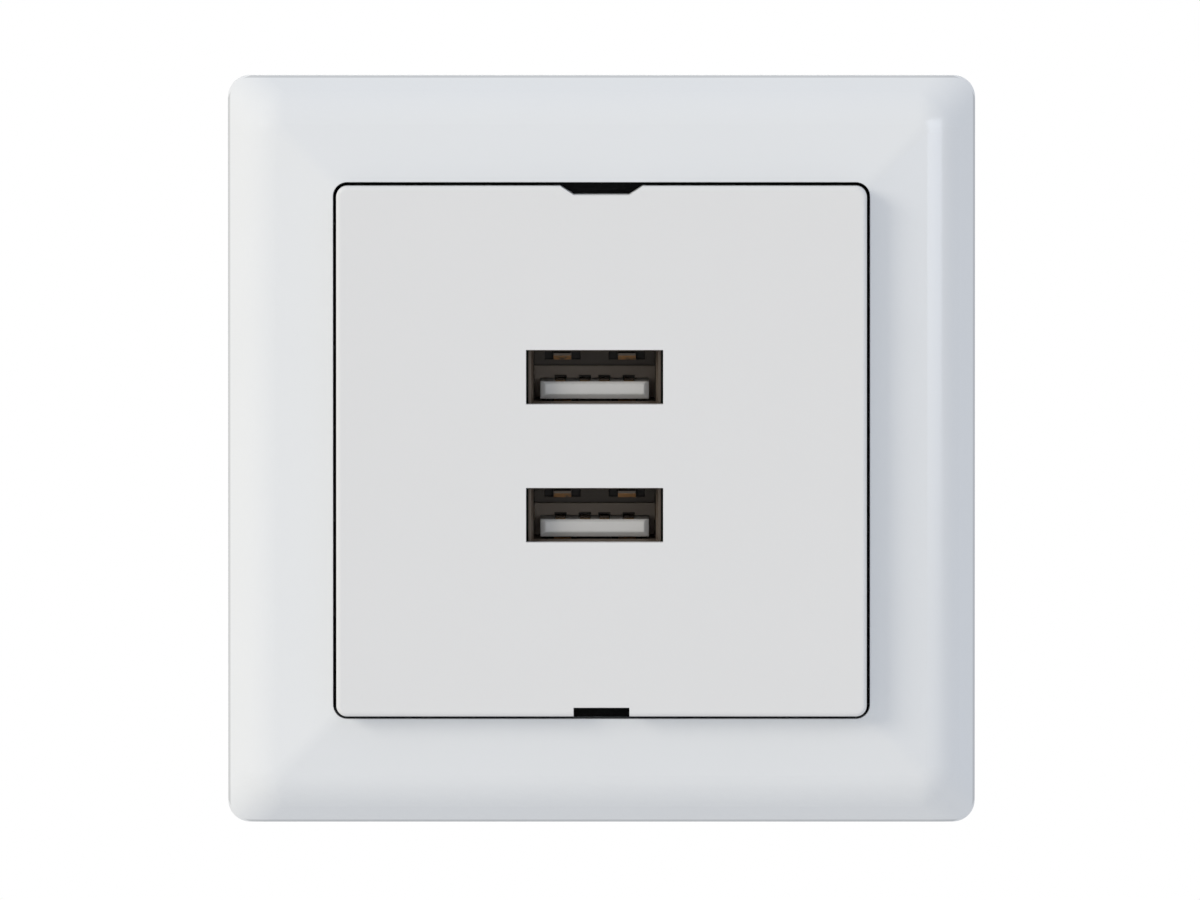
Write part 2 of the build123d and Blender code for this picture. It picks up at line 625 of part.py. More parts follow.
def module_case():
    """Rear case: a deep tray with clips to the front cover, board posts and vents."""
    case = carried(cut_square(MODULE_SIDE, MODULE_CUT), CASE_FRONT, CASE_BACK)
    case = chamfer(edges_at(case, CASE_BACK), CASE_REAR_CUT)
    for x in (-CLIP_PLACE, CLIP_PLACE):
        clip = Pos(x, 0, 0) * case_clip()
        case += clip
        case += mirror(clip, about=Plane.XY)
    case -= carried(cut_square(MODULE_INSIDE, MODULE_INSIDE_CUT), CASE_FRONT, CASE_INSIDE)
    for x in (-POST_PLACE, POST_PLACE):
        for z in (POST_PLACE, POWER_BOARD_BOTTOM + POST_SIDE / 2):
            post = (POWER_BOARD_BACK, CASE_INSIDE)
            case += block(about(x, POST_SIDE), post, about(z, POST_SIDE))
    for i in range(VENT_COUNT):
        z = VENT_Z + (i - (VENT_COUNT - 1) / 2) * VENT_PITCH
        case -= block(about(0, VENT_LENGTH), (CASE_INSIDE, CASE_BACK), about(z, VENT_WIDTH))
    return case - terminal_recess()


def shell_tube(flare, y_front, y_back, sheet):
    """Rectangular tube round the mouth, opened at its front by the flare."""
    width = MOUTH_WIDTH + 2 * sheet
    height = MOUTH_HEIGHT + 2 * sheet
    straight = Rectangle(width, height)
    wide = Rectangle(width + 2 * flare, height + 2 * flare)
    tube = carried(straight, y_front + FUNNEL_LENGTH, y_back)
    return tube + loft([section(wide, y_front), section(straight, y_front + FUNNEL_LENGTH)], ruled=True)


def shell_spring(dip_depth):
    """Leaf spring of the shell's top wall, rooted at the back and dipping into the mouth."""
    wall = MOUTH_HEIGHT / 2
    root = SHELL_FRONT + SPRING_ROOT
    bend = SHELL_FRONT + SPRING_BEND
    tip = SHELL_FRONT + SPRING_TIP
    dip = wall - dip_depth
    lift = dip + SPRING_CURL
    leaf = Polygon(
        (root, wall),
        (bend, dip),
        (tip, lift),
        (tip, lift + SHELL_SHEET),
        (bend, dip + SHELL_SHEET),
        (root, wall + SHELL_SHEET),
        align=None,
    )
    spring = extrude(Plane.YZ * leaf, amount=SPRING_WIDTH / 2, both=True)
    joint = block(about(0, SPRING_WIDTH), (root - SHELL_SHEET, root), (wall, wall + SHELL_SHEET))
    return spring + joint


def usb_shell(z):
    """Folded steel shell with a flared mouth, four leaf springs and two solder legs."""
    shell = shell_tube(FUNNEL_FLARE, SHELL_FRONT, USB_BOARD_FRONT, SHELL_SHEET)
    shell -= shell_tube(FUNNEL_FLARE, SHELL_FRONT, USB_BOARD_FRONT, 0)
    opening = (SHELL_FRONT + SPRING_TIP - SPRING_SLOT, SHELL_FRONT + SPRING_ROOT)
    wall = (MOUTH_HEIGHT / 2 - SHELL_SHEET, SHELL_HEIGHT / 2)
    for x in (-SPRING_PLACE, SPRING_PLACE):
        cut = block(about(x, SPRING_WIDTH + 2 * SPRING_SLOT), opening, wall)
        shell -= cut
        shell -= mirror(cut, about=Plane.XY)
        shell += Pos(x, 0, 0) * shell_spring(SPRING_DIP_TOP)
        shell += mirror(Pos(x, 0, 0) * shell_spring(SPRING_DIP_BOTTOM), about=Plane.XY)
    for side in (-1, 1):
        leg = sorted((side * MOUTH_WIDTH / 2, side * SHELL_WIDTH / 2))
        shell += block(leg, (CARRIER_FRONT, USB_BOARD_FRONT + LEG_LENGTH), about(0, LEG_WIDTH))
    return Pos(PORT_X, 0, z) * shell


def tongue_span():
    """Bottom and top of the tongue, measured from the port's centre."""
    return (TONGUE_TOP - TONGUE_THICKNESS, TONGUE_TOP)


def usb_carrier(z):
    """Dark moulding at the back of the mouth, which holds the tongue and the contacts."""
    height = MOUTH_HEIGHT - 2 * CARRIER_GAP
    body = block(about(0, CARRIER_WIDTH), (CARRIER_FRONT, USB_BOARD_FRONT), about(0, height))
    step = (height / 2 - CARRIER_STEP_HEIGHT, height / 2)
    body -= block(about(0, MOUTH_WIDTH), (CARRIER_FRONT, CARRIER_FRONT + CARRIER_STEP_DEPTH), step)
    low, high = tongue_span()
    slot = about(0, TENON_WIDTH + 2 * CARRIER_GAP)
    body -= block(slot, (CARRIER_FRONT, USB_BOARD_FRONT), (low - CARRIER_GAP, high + CARRIER_GAP))
    slot_depth = (CARRIER_FRONT, CARRIER_FRONT + CONTACT_SLOT_DEPTH)
    passage = (high, contact_height()[1] + CONTACT_GAP)
    for x in CONTACT_PLACES:
        body -= block(about(x, CONTACT_SLOT_WIDTH), slot_depth, (high, high + CONTACT_SLOT_HEIGHT))
        body -= block(about(x, CONTACT_WIDTH + 2 * CONTACT_GAP), (CARRIER_FRONT, USB_BOARD_FRONT), passage)
    return Pos(PORT_X, 0, z) * body


def usb_tongue(z):
    """Contact tongue with a bevelled nose, a tenon in the carrier and a groove for each contact."""
    low, high = tongue_span()
    front = SHELL_FRONT + TONGUE_INSET
    outline = Polygon(
        (front, low + TONGUE_NOSE),
        (front + TONGUE_NOSE, low),
        (CARRIER_FRONT, low),
        (CARRIER_FRONT, high),
        (front + TONGUE_NOSE / 2, high),
        (front, high - TONGUE_NOSE / 2),
        align=None,
    )
    half = TONGUE_WIDTH / 2
    plan = Polygon(
        (-half + TONGUE_NOSE, front),
        (half - TONGUE_NOSE, front),
        (half, front + TONGUE_NOSE),
        (half, CARRIER_FRONT),
        (-half, CARRIER_FRONT),
        (-half, front + TONGUE_NOSE),
        align=None,
    )
    body = extrude(Plane.YZ * outline, amount=half, both=True)
    body &= extrude(plan, amount=MOUTH_HEIGHT, both=True)
    body += block(about(0, TENON_WIDTH), (CARRIER_FRONT, USB_BOARD_FRONT), (low, high))
    groove = (high + CONTACT_PROUD - CONTACT_SHEET - CONTACT_GAP, high)
    for x in CONTACT_PLACES:
        width = about(x, CONTACT_WIDTH + 2 * CONTACT_GAP)
        body -= block(width, (front + CONTACT_INSET - CONTACT_GAP, USB_BOARD_FRONT), groove)
    return Pos(PORT_X, 0, z) * body


def contact_height():
    """Bottom and top of the contacts, measured from the port's centre."""
    return (TONGUE_TOP + CONTACT_PROUD - CONTACT_SHEET, TONGUE_TOP + CONTACT_PROUD)


def usb_contacts(z):
    """Four contact strips with their solder pins."""
    front = SHELL_FRONT + TONGUE_INSET + CONTACT_INSET
    strips = []
    for x in CONTACT_PLACES:
        strip = block(about(x, CONTACT_WIDTH), (front, USB_BOARD_FRONT), contact_height())
        pin = (USB_BOARD_FRONT - CONTACT_SHEET, USB_BOARD_FRONT + LEG_LENGTH)
        strip += block(about(x, CONTACT_PIN), pin, contact_height())
        strips.append(Pos(PORT_X, 0, z) * strip)
    return Compound(strips)


def header_places():
    first = -(HEADER_COUNT - 1) / 2 * HEADER_PITCH
    return [first + i * HEADER_PITCH for i in range(HEADER_COUNT)]


def header_holes(front, back, clearance):
    """Square holes round the header pins."""
    side = HEADER_PIN + 2 * clearance
    return [block(about(x, side), (front, back), about(HEADER_Z, side)) for x in header_places()]


def usb_board():
    depth = (USB_BOARD_FRONT, USB_BOARD_BACK)
    board = carried(cut_square(BOARD_SIDE, BOARD_CUT), *depth)
    low, high = contact_height()
    for z in PORT_ZS.values():
        for side in (-1, 1):
            x = PORT_X + side * (MOUTH_WIDTH + SHELL_SHEET) / 2
            leg = about(x, SHELL_SHEET + 2 * HOLE_GAP)
            board -= block(leg, depth, about(z, LEG_WIDTH + 2 * HOLE_GAP))
        for x in CONTACT_PLACES:
            pin = about(PORT_X + x, CONTACT_PIN + 2 * HOLE_GAP)
            board -= block(pin, depth, (z + low - HOLE_GAP, z + high + HOLE_GAP))
    for hole in header_holes(*depth, HOLE_GAP):
        board -= hole
    return board


def power_board():
    depth = (POWER_BOARD_FRONT, POWER_BOARD_BACK)
    board = carried(cut_square(BOARD_SIDE, BOARD_CUT), *depth)
    board &= block(about(0, BOARD_SIDE), depth, (POWER_BOARD_BOTTOM, BOARD_SIDE / 2))
    for hole in header_holes(*depth, HOLE_GAP):
        board -= hole
    for x in TERMINAL_XS.values():
        leg = about(BAR_LEG_Z, BAR_SHEET + 2 * HOLE_GAP)
        board -= block(about(x, BAR_LEG_WIDTH + 2 * HOLE_GAP), depth, leg)
    for x, z in transformer_pin_places():
        side = TRANSFORMER_PIN + 2 * HOLE_GAP
        board -= block(about(x, side), depth, about(z, side))
    return board


def header_pins():
    span = (USB_BOARD_FRONT - HEADER_PIN_END, POWER_BOARD_BACK + HEADER_PIN_END)
    return Compound(header_holes(*span, 0))


def header_spacer():
    depth = (USB_BOARD_BACK, USB_BOARD_BACK + HEADER_SPACER)
    spacer = block(about(0, HEADER_COUNT * HEADER_PITCH), depth, about(HEADER_Z, HEADER_SPACER))
    for hole in header_holes(*depth, HOLE_GAP / 2):
        spacer -= hole
    return spacer


def seated(size, x, z, y, away):
    """Box of a size (x, y, z) seated on a board's face at y, on the side that away points to."""
    depth = sorted((y, y + away * size[1]))
    return block(about(x, size[0]), depth, about(z, size[2]))


def charge_controller():
    return seated(CHIP_SIZE, CHIP_X, CHIP_Z, USB_BOARD_BACK, 1)


def output_diode():
    return seated(DIODE_SIZE, DIODE_X, DIODE_Z, USB_BOARD_BACK, 1)


def bridge_rectifier():
    return seated(BRIDGE_SIZE, BRIDGE_X, BRIDGE_Z, POWER_BOARD_FRONT, -1)


def core_centre_y():
    return POWER_BOARD_FRONT - TRANSFORMER_LIFT - BOBBIN_FLANGE_DEPTH / 2


def transformer_core():
    """Two E-shaped ferrite halves that meet at mid height."""
    half = CORE_HEIGHT / 2
    y = about(core_centre_y(), CORE_THICKNESS)
    halves = []
    for side in (-1, 1):
        span = sorted((0, side * half))
        outline = block(about(0, CORE_WIDTH), y, span)
        window = sorted((0, side * (half - CORE_LEG)))
        inner = CORE_CENTRE_LEG / 2
        outer = CORE_WIDTH / 2 - CORE_LEG
        outline -= block((inner, outer), y, window)
        outline -= block((-outer, -inner), y, window)
        halves.append(Pos(CORE_X, 0, CORE_Z) * outline)
    return Compound(halves)


def bobbin_length():
    return CORE_HEIGHT - 2 * CORE_LEG - 2 * BOBBIN_GAP


def bobbin_tube(extra):
    """Outline in x and y of the bobbin's tube, grown by extra on each side."""
    grow = 2 * (BOBBIN_GAP + extra)
    return (CORE_CENTRE_LEG + grow, CORE_THICKNESS + grow)


def transformer_bobbin():
    length = bobbin_length()
    y = core_centre_y()
    width, depth = bobbin_tube(BOBBIN_WALL)
    body = block(about(0, width), about(y, depth), about(0, length))
    flange_width = CORE_WIDTH - 2 * CORE_LEG - 2 * BOBBIN_GAP
    for side in (-1, 1):
        flange = sorted((side * (length / 2 - BOBBIN_FLANGE), side * length / 2))
        span = (y - BOBBIN_FLANGE_DEPTH / 2, POWER_BOARD_FRONT)
        body += block(about(0, flange_width), span, flange)
    width, depth = bobbin_tube(0)
    body -= block(about(0, width), about(y, depth), about(0, length))
    body = Pos(CORE_X, 0, CORE_Z) * body
    for x, z in transformer_pin_places():
        pin = about(x, TRANSFORMER_PIN)
        foot = (POWER_BOARD_FRONT - 2 * BOBBIN_FLANGE, POWER_BOARD_FRONT)
        body -= block(pin, foot, about(z, TRANSFORMER_PIN))
    return body


def transformer_coil():
    """Taped winding on the bobbin, between its flanges."""
    width, depth = bobbin_tube(BOBBIN_WALL + COIL_BUILD)
    hole_width, hole_depth = bobbin_tube(BOBBIN_WALL)
    ring = RectangleRounded(width, depth, COIL_ROUND) - Rectangle(hole_width, hole_depth)
    length = bobbin_length() - 2 * BOBBIN_FLANGE
    return Pos(CORE_X, core_centre_y(), CORE_Z - length / 2) * extrude(ring, amount=length)


def transformer_pin_places():
    row = bobbin_length() / 2 - BOBBIN_FLANGE / 2
    places = (-TRANSFORMER_PIN_PITCH, 0, TRANSFORMER_PIN_PITCH)
    return [(CORE_X + x, CORE_Z + side * row) for side in (-1, 1) for x in places]


def transformer_pins():
    span = (POWER_BOARD_FRONT - 2 * BOBBIN_FLANGE, POWER_BOARD_BACK + HEADER_PIN_END)
    side = TRANSFORMER_PIN
    return Compound([block(about(x, side), span, about(z, side)) for x, z in transformer_pin_places()])


def standing_can(radius, length, x, z):
    """Round can standing on the power board."""
    return rod(x, z, radius, POWER_BOARD_FRONT - length, POWER_BOARD_FRONT)


def input_fuse():
    """Fusible link in a small barrel lying on the power board."""
    barrel = extrude(Plane.YZ * Circle(FUSE_RADIUS), amount=FUSE_LENGTH)
    return Pos(FUSE_X - FUSE_LENGTH / 2, POWER_BOARD_FRONT - FUSE_RADIUS, FUSE_Z) * barrel


def safety_capacitor():
    """Disc on edge, standing on the power board."""
    disc = extrude(Plane.YZ * Circle(DISC_RADIUS), amount=DISC_THICKNESS)
    return Pos(OUTPUT_CAP_X - DISC_THICKNESS / 2, POWER_BOARD_FRONT - DISC_RADIUS, DISC_Z) * disc


def terminal_block():
    """Moulded block with two cells, each with a screw well, a cage cell and a wire entry."""
    body = block(
        about(0, TERMINAL_WIDTH),
        (TERMINAL_FRONT, CASE_BACK),
        (TERMINAL_BOTTOM, TERMINAL_TOP),
    )
    cell_floor = TERMINAL_BOTTOM + WIRE_FLOOR
    entry_middle = (FLOOR_BACK + BAR_FRONT) / 2
    entry = Rectangle(WIRE_ENTRY_WIDTH, WIRE_SPACE)
    mouth = Rectangle(WIRE_ENTRY_WIDTH + 2 * WIRE_FUNNEL, WIRE_SPACE + 2 * WIRE_FUNNEL)
    for x in TERMINAL_XS.values():
        body -= block(about(x, CELL_WIDTH), (CELL_FRONT, WEB_FRONT), (cell_floor, TERMINAL_TOP))
        well = TERMINAL_HEAD_RADIUS + TERMINAL_HEAD_ROOM
        body -= rod(x, TERMINAL_SCREW_Z, well, WEB_BACK, CASE_BACK)
        bore = TERMINAL_SCREW_RADIUS + CAGE_GAP
        body -= rod(x, TERMINAL_SCREW_Z, bore, WEB_FRONT, WEB_BACK)
        at_entry = Pos(x, entry_middle, TERMINAL_BOTTOM)
        body -= at_entry * extrude(entry, amount=WIRE_FLOOR)
        body -= at_entry * loft([mouth, Pos(0, 0, WIRE_FLOOR / 2) * entry], ruled=True)
    return body


def terminal_cage(x):
    """Rising cage: a sleeve round bar and wire, with a thick nut wall for the screw."""
    z = (CAGE_BOTTOM, CAGE_BOTTOM + CAGE_LENGTH)
    cage = block(about(x, CAGE_WIDTH), (CAGE_FRONT, CAGE_BACK), z)
    cage -= block(about(x, CAGE_INNER_WIDTH), (FLOOR_BACK, NUT_FRONT), z)
    bore = TERMINAL_SCREW_RADIUS + TERMINAL_SCREW_GAP
    return cage - rod(x, TERMINAL_SCREW_Z, bore, NUT_FRONT, CAGE_BACK)


def terminal_screw(x):
    """Captive screw: slotted head in its well, shank through web and cage to the bar."""
    top = HEAD_FRONT + TERMINAL_HEAD_HEIGHT
    tip = BAR_BACK + CAGE_GAP
    screw = turned(
        [
            (0, top),
            (TERMINAL_HEAD_RADIUS, top),
            (TERMINAL_HEAD_RADIUS, HEAD_FRONT),
            (TERMINAL_SCREW_RADIUS, HEAD_FRONT),
            (TERMINAL_SCREW_RADIUS, tip),
            (0, tip),
        ]
    )
    across = about(0, 2 * TERMINAL_HEAD_RADIUS)
    screw -= block(across, (top - SCREW_SLOT_DEPTH, top), about(0, SCREW_SLOT_WIDTH))
    return Pos(x, 0, TERMINAL_SCREW_Z) * screw


def terminal_bar(x):
    """Bent strip from the clamp to the power board."""
    leg_top = BAR_LEG_Z + BAR_SHEET / 2
    bar = block(about(x, BAR_WIDTH), (BAR_FRONT, BAR_BACK), (CAGE_BOTTOM, leg_top))
    leg = (BAR_FRONT, POWER_BOARD_BACK + BAR_LEG_END)
    return bar + block(about(x, BAR_LEG_WIDTH), leg, about(BAR_LEG_Z, BAR_SHEET))


def all_nodes():
    """Every named piece of the socket."""
    nodes = {
        "outer_frame": outer_frame(),
        "centre_plate": centre_plate(),
        "plate_seal": plate_seal(),
        "support_yoke": support_yoke(),
        "claw_right": claw(),
        "claw_left": mirror(claw(), about=Plane.YZ),
        "claw_screw_right": claw_screw(),
        "claw_screw_left": mirror(claw_screw(), about=Plane.YZ),
        "module_front": module_front(),
        "module_case": module_case(),
        "usb_board": usb_board(),
        "power_board": power_board(),
        "header_pins": header_pins(),
        "header_spacer": header_spacer(),
        "charge_controller": charge_controller(),
        "output_diode": output_diode(),
        "bridge_rectifier": bridge_rectifier(),
        "transformer_core": transformer_core(),
        "transformer_bobbin": transformer_bobbin(),
        "transformer_coil": transformer_coil(),
        "transformer_pins": transformer_pins(),
        "output_capacitor": standing_can(OUTPUT_CAP_RADIUS, OUTPUT_CAP_LENGTH, OUTPUT_CAP_X, OUTPUT_CAP_Z),
        "input_fuse": input_fuse(),
        "filter_choke": standing_can(CHOKE_RADIUS, CHOKE_LENGTH, OUTPUT_CAP_X, CHOKE_Z),
        "safety_capacitor": safety_capacitor(),
        "terminal_block": terminal_block(),
    }
    for name, z in (("lower", INPUT_CAP_LOWER_Z), ("upper", INPUT_CAP_UPPER_Z)):
        nodes[f"input_capacitor_{name}"] = standing_can(INPUT_CAP_RADIUS, INPUT_CAP_LENGTH, INPUT_CAP_X, z)
    for name, z in PORT_ZS.items():
        nodes[f"usb_shell_{name}"] = usb_shell(z)
        nodes[f"usb_carrier_{name}"] = usb_carrier(z)
        nodes[f"usb_tongue_{name}"] = usb_tongue(z)
        nodes[f"usb_contacts_{name}"] = usb_contacts(z)
    for name, x in TERMINAL_XS.items():
        nodes[f"terminal_cage_{name}"] = terminal_cage(x)
        nodes[f"terminal_screw_{name}"] = terminal_screw(x)
        nodes[f"terminal_bar_{name}"] = terminal_bar(x)
    return nodes


os.makedirs("parts", exist_ok=True)
for node, shape in all_nodes().items():
    export_step(shape, f"parts/{node}.step")
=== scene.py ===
"""USB wall socket: finishes for its solids, and turned, threaded and soldered pieces over the plain ones."""

import logging
import math
from collections.abc import Callable, Mapping, Sequence
from dataclasses import dataclass, field
from enum import Enum, IntEnum

import bpy
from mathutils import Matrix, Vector

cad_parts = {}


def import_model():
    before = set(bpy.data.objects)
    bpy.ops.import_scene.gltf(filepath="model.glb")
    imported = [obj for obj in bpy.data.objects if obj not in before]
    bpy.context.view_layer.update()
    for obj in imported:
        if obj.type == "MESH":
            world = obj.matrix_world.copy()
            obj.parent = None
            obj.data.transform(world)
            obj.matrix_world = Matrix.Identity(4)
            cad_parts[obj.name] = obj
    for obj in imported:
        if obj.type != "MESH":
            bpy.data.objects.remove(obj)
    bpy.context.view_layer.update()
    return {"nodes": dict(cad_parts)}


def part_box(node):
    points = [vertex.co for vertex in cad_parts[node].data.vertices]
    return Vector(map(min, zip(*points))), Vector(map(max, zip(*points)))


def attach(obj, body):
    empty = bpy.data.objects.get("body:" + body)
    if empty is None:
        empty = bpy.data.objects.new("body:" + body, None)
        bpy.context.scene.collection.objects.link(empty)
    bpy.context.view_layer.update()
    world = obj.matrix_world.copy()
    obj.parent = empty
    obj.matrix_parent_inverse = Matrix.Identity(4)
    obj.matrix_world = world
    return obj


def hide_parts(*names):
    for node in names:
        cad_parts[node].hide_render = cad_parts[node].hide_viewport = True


LOG = logging.getLogger("usb_wall_socket")
MM = 0.001
BODY = "socket"

# Distance at which points merge, angle in degrees that makes an edge, and how well a face has to line up.
WELD = 0.0001 * MM
CREASE = 35
ALIGNED = 0.9
ORIGIN = (0, 0, 0)

Colour = tuple[float, float, float]
Point = tuple[float, float, float]
Profile = list[tuple[float, float]]
Piece = bpy.types.Object
Element = bpy.types.MeshVertex | bpy.types.MeshPolygon


def seen(red: int, green: int, blue: int) -> Colour:
    """Turns a colour as a screen shows it into the light that a shader takes.

    Args:
        red: Red, from 0 to 255.
        green: Green, from 0 to 255.
        blue: Blue, from 0 to 255.

    Returns:
        The three linear shares.
    """

    def light(level: int) -> float:
        """Linear share of one channel."""
        share = level / 255
        return share / 12.92 if share <= 0.04045 else ((share + 0.055) / 1.055) ** 2.4

    return (light(red), light(green), light(blue))


def shaded(colour: Colour, share: float) -> Colour:
    """Colour with each channel times a share."""
    return (colour[0] * share, colour[1] * share, colour[2] * share)


class Slot(Enum):
    """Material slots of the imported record."""

    FRAME = "frame_plastic"
    PLATE = "plate_plastic"
    SEAL = "seal_foam"
    ZINC = "zinc_steel"
    SCREW = "screw_steel"
    COVER = "cover_plastic"
    CASE = "case_plastic"
    SHELL = "shell_steel"
    CARRIER = "carrier_plastic"
    TONGUE = "tongue_plastic"
    CONTACT = "contact_metal"
    BOARD = "board"
    PIN = "pin_metal"
    CHIP = "black_moulding"
    FERRITE = "ferrite"
    BOBBIN = "bobbin_plastic"
    TAPE = "winding_tape"
    CAN = "can_sleeve"
    FUSE = "fuse_body"
    CHOKE = "choke_sleeve"
    DISC = "disc_coating"
    TERMINAL = "terminal_plastic"
    CAGE = "cage_steel"
    BAR = "bar_brass"


class Side(Enum):
    """Left or right, as the front is seen."""

    LEFT = "left"
    RIGHT = "right"


class Pole(Enum):
    """Mains pole of a terminal."""

    LIVE = "live"
    NEUTRAL = "neutral"


class Row(Enum):
    """Place of a receptacle in its column."""

    UPPER = "upper"
    LOWER = "lower"


class Axis(Enum):
    """Axis of the shared frame."""

    X = "X"
    Y = "Y"
    Z = "Z"


class Face(IntEnum):
    """Side of a board, as the sign of the y that it looks to."""

    FRONT = -1
    BACK = 1


class Pick(Enum):
    """What a selection in a mesh takes in."""

    POINTS = "VERT"
    FACES = "FACE"


class Facets(Enum):
    """Number of facets round a turned piece."""

    SMALL = 24
    MEDIUM = 48
    LARGE = 64


class Signal:
    """A shader socket that takes part in Python sums."""

    def __init__(self, tree: "Tree", socket: bpy.types.NodeSocket) -> None:
        """Keeps the socket and the tree that it belongs to."""
        self.tree = tree
        self.socket = socket

    def reckon(self, operation: str, first: "Feed", second: "Feed") -> "Signal":
        """Adds a Math node.

        Args:
            operation: Name of the Math node's operation.
            first: First number or signal.
            second: Second number or signal.

        Returns:
            The result's signal.
        """
        return self.tree.add("ShaderNodeMath", {"operation": operation}, {0: first, 1: second})

    def __add__(self, other: "Feed") -> "Signal":
        """Sum."""
        return self.reckon("ADD", self, other)

    def __radd__(self, other: "Feed") -> "Signal":
        """Sum with a number in front."""
        return self.reckon("ADD", other, self)

    def __sub__(self, other: "Feed") -> "Signal":
        """Difference."""
        return self.reckon("SUBTRACT", self, other)

    def __rsub__(self, other: "Feed") -> "Signal":
        """Difference from a number."""
        return self.reckon("SUBTRACT", other, self)

    def __mul__(self, other: "Feed") -> "Signal":
        """Product."""
        return self.reckon("MULTIPLY", self, other)

    def __rmul__(self, other: "Feed") -> "Signal":
        """Product with a number in front."""
        return self.reckon("MULTIPLY", other, self)

    def size(self) -> "Signal":
        """Value without its sign."""
        return self.reckon("ABSOLUTE", self, 0.0)

    def root(self) -> "Signal":
        """Square root."""
        return self.reckon("SQRT", self, 0.0)

    def past(self, level: float) -> "Signal":
        """How far the value is past a level, or 0 below it."""
        return self.reckon("MAXIMUM", self - level, 0.0)

    def step(self, low: float, high: float) -> "Signal":
        """Smooth step from 0 at low to 1 at high.

        Args:
            low: Value where the step begins.
            high: Value where it ends.

        Returns:
            The step's signal.
        """
        settings = {"interpolation_type": "SMOOTHSTEP"}
        limits = {"Value": self, "From Min": low, "From Max": high}
        return self.tree.add("ShaderNodeMapRange", settings, limits)

    def wave(self, pitch: float) -> "Signal":
        """Even ripple between 0 and 1 along this signal, taken as a length.

        Args:
            pitch: Length of one ripple.

        Returns:
            The ripple's signal.
        """
        return 0.5 + 0.5 * self.reckon("SINE", self * (2 * math.pi / pitch), 0.0)


Feed = Signal | float | Sequence[float]


class Tree:
    """Node tree that starts empty."""

    def __init__(self, owner: bpy.types.Material | bpy.types.World) -> None:
        """Empties the owner's tree.

        Args:
            owner: The material or the world.
        """
        owner.use_nodes = True
        self.tree = owner.node_tree
        self.tree.nodes.clear()

    def add(
        self,
        kind: str,
        settings: Mapping[str, object],
        sockets: Mapping[str | int, Feed],
        output: str | int | None = 0,
    ) -> Signal | None:
        """Adds a node.

        Args:
            kind: Type of the node.
            settings: Properties of the node, set before its sockets.
            sockets: Values or links of its inputs, by name or number.
            output: Output to hand back, by name or number.

        Returns:
            The signal of that output, or None.
        """
        node = self.tree.nodes.new(kind)
        for name, value in settings.items():
            setattr(node, name, value)
        self.feed(node, sockets)
        return None if output is None else Signal(self, node.outputs[output])

    def feed(self, node: bpy.types.Node, sockets: Mapping[str | int, Feed]) -> None:
        """Sets or links inputs of a node.

        Args:
            node: The node.
            sockets: Values or links, by name or number.
        """
        for key, value in sockets.items():
            if isinstance(value, Signal):
                self.tree.links.new(value.socket, node.inputs[key])
            else:
                node.inputs[key].default_value = value

    def blend(self, share: Feed, first: Feed, second: Feed) -> Signal:
        """Mix of two colours.

        Args:
            share: Share of the second, from 0 to 1.
            first: First colour.
            second: Second colour.

        Returns:
            The mixed colour's signal.
        """
        first, second = (value if isinstance(value, Signal) else (*value, 1.0) for value in (first, second))
        return self.add("ShaderNodeMix", {"data_type": "RGBA"}, {0: share, 6: first, 7: second}, 2)


class Recipe(Tree):
    """Node tree of one material that ends in a Principled shader."""

    def __init__(self, name: str) -> None:
        """Starts a material.

        Args:
            name: Name of the material.
        """
        self.material = bpy.data.materials.new(name)
        super().__init__(self.material)
        self.surface = self.tree.nodes.new("ShaderNodeBsdfPrincipled")
        shader = Signal(self, self.surface.outputs[0])
        self.add("ShaderNodeOutputMaterial", {}, {"Surface": shader}, None)

    def shine(self, **sockets: Feed) -> None:
        """Sets inputs of the Principled shader, with _ for each space in a name."""
        self.feed(self.surface, {name.replace("_", " "): value for name, value in sockets.items()})

    def place(self) -> Signal:
        """Object coordinates, in metres."""
        return self.add("ShaderNodeTexCoord", {}, {}, "Object")

    def facing(self) -> Signal:
        """Share of the object's Y in the direction that the surface faces."""
        way = self.add("ShaderNodeTexCoord", {}, {}, "Normal")
        return self.add("ShaderNodeSeparateXYZ", {}, {"Vector": way}, "Y")

    def tone(self) -> Signal:
        """Colour that the surface has so far."""
        return Signal(self, self.surface.inputs["Base Color"].links[0].from_socket)

    def along(self, axis: Axis) -> Signal:
        """One of the object coordinates, in metres."""
        return self.add("ShaderNodeSeparateXYZ", {}, {"Vector": self.place()}, axis.value)

    def cloud(self, size: float, detail: float = 2.0, stretch: Point = (1.0, 1.0, 1.0)) -> Signal:
        """Noise between 0 and 1.

        Args:
            size: Size of its features, in metres.
            detail: Number of finer octaves.
            stretch: Length of a feature along each axis, as a share of its size.

        Returns:
            The noise's signal.
        """
        scale = tuple(1 / (size * share) for share in stretch)
        spot = self.add("ShaderNodeMapping", {}, {"Vector": self.place(), "Scale": scale})
        return self.add("ShaderNodeTexNoise", {}, {"Vector": spot, "Scale": 1.0, "Detail": detail})

    def cells(self, size: float) -> Signal:
        """Random grey of round cells.

        Args:
            size: Size of a cell, in metres.

        Returns:
            The signal of the cell's grey.
        """
        sockets = {"Vector": self.place(), "Scale": 1 / size}
        return self.add("ShaderNodeTexVoronoi", {}, sockets, "Color")

    def relief(self, height: Feed, depth: float, edge: float = 0.0) -> None:
        """Gives the surface a relief.

        Args:
            height: Height from 0 to 1.
            depth: Depth of the relief, in metres.
            edge: Radius to which sharp edges are broken, in metres.
        """
        sockets = {"Height": height, "Distance": depth, "Strength": 1.0}
        if edge:
            sockets["Normal"] = self.add("ShaderNodeBevel", {"samples": 4}, {"Radius": edge})
        self.shine(Normal=self.add("ShaderNodeBump", {}, sockets))


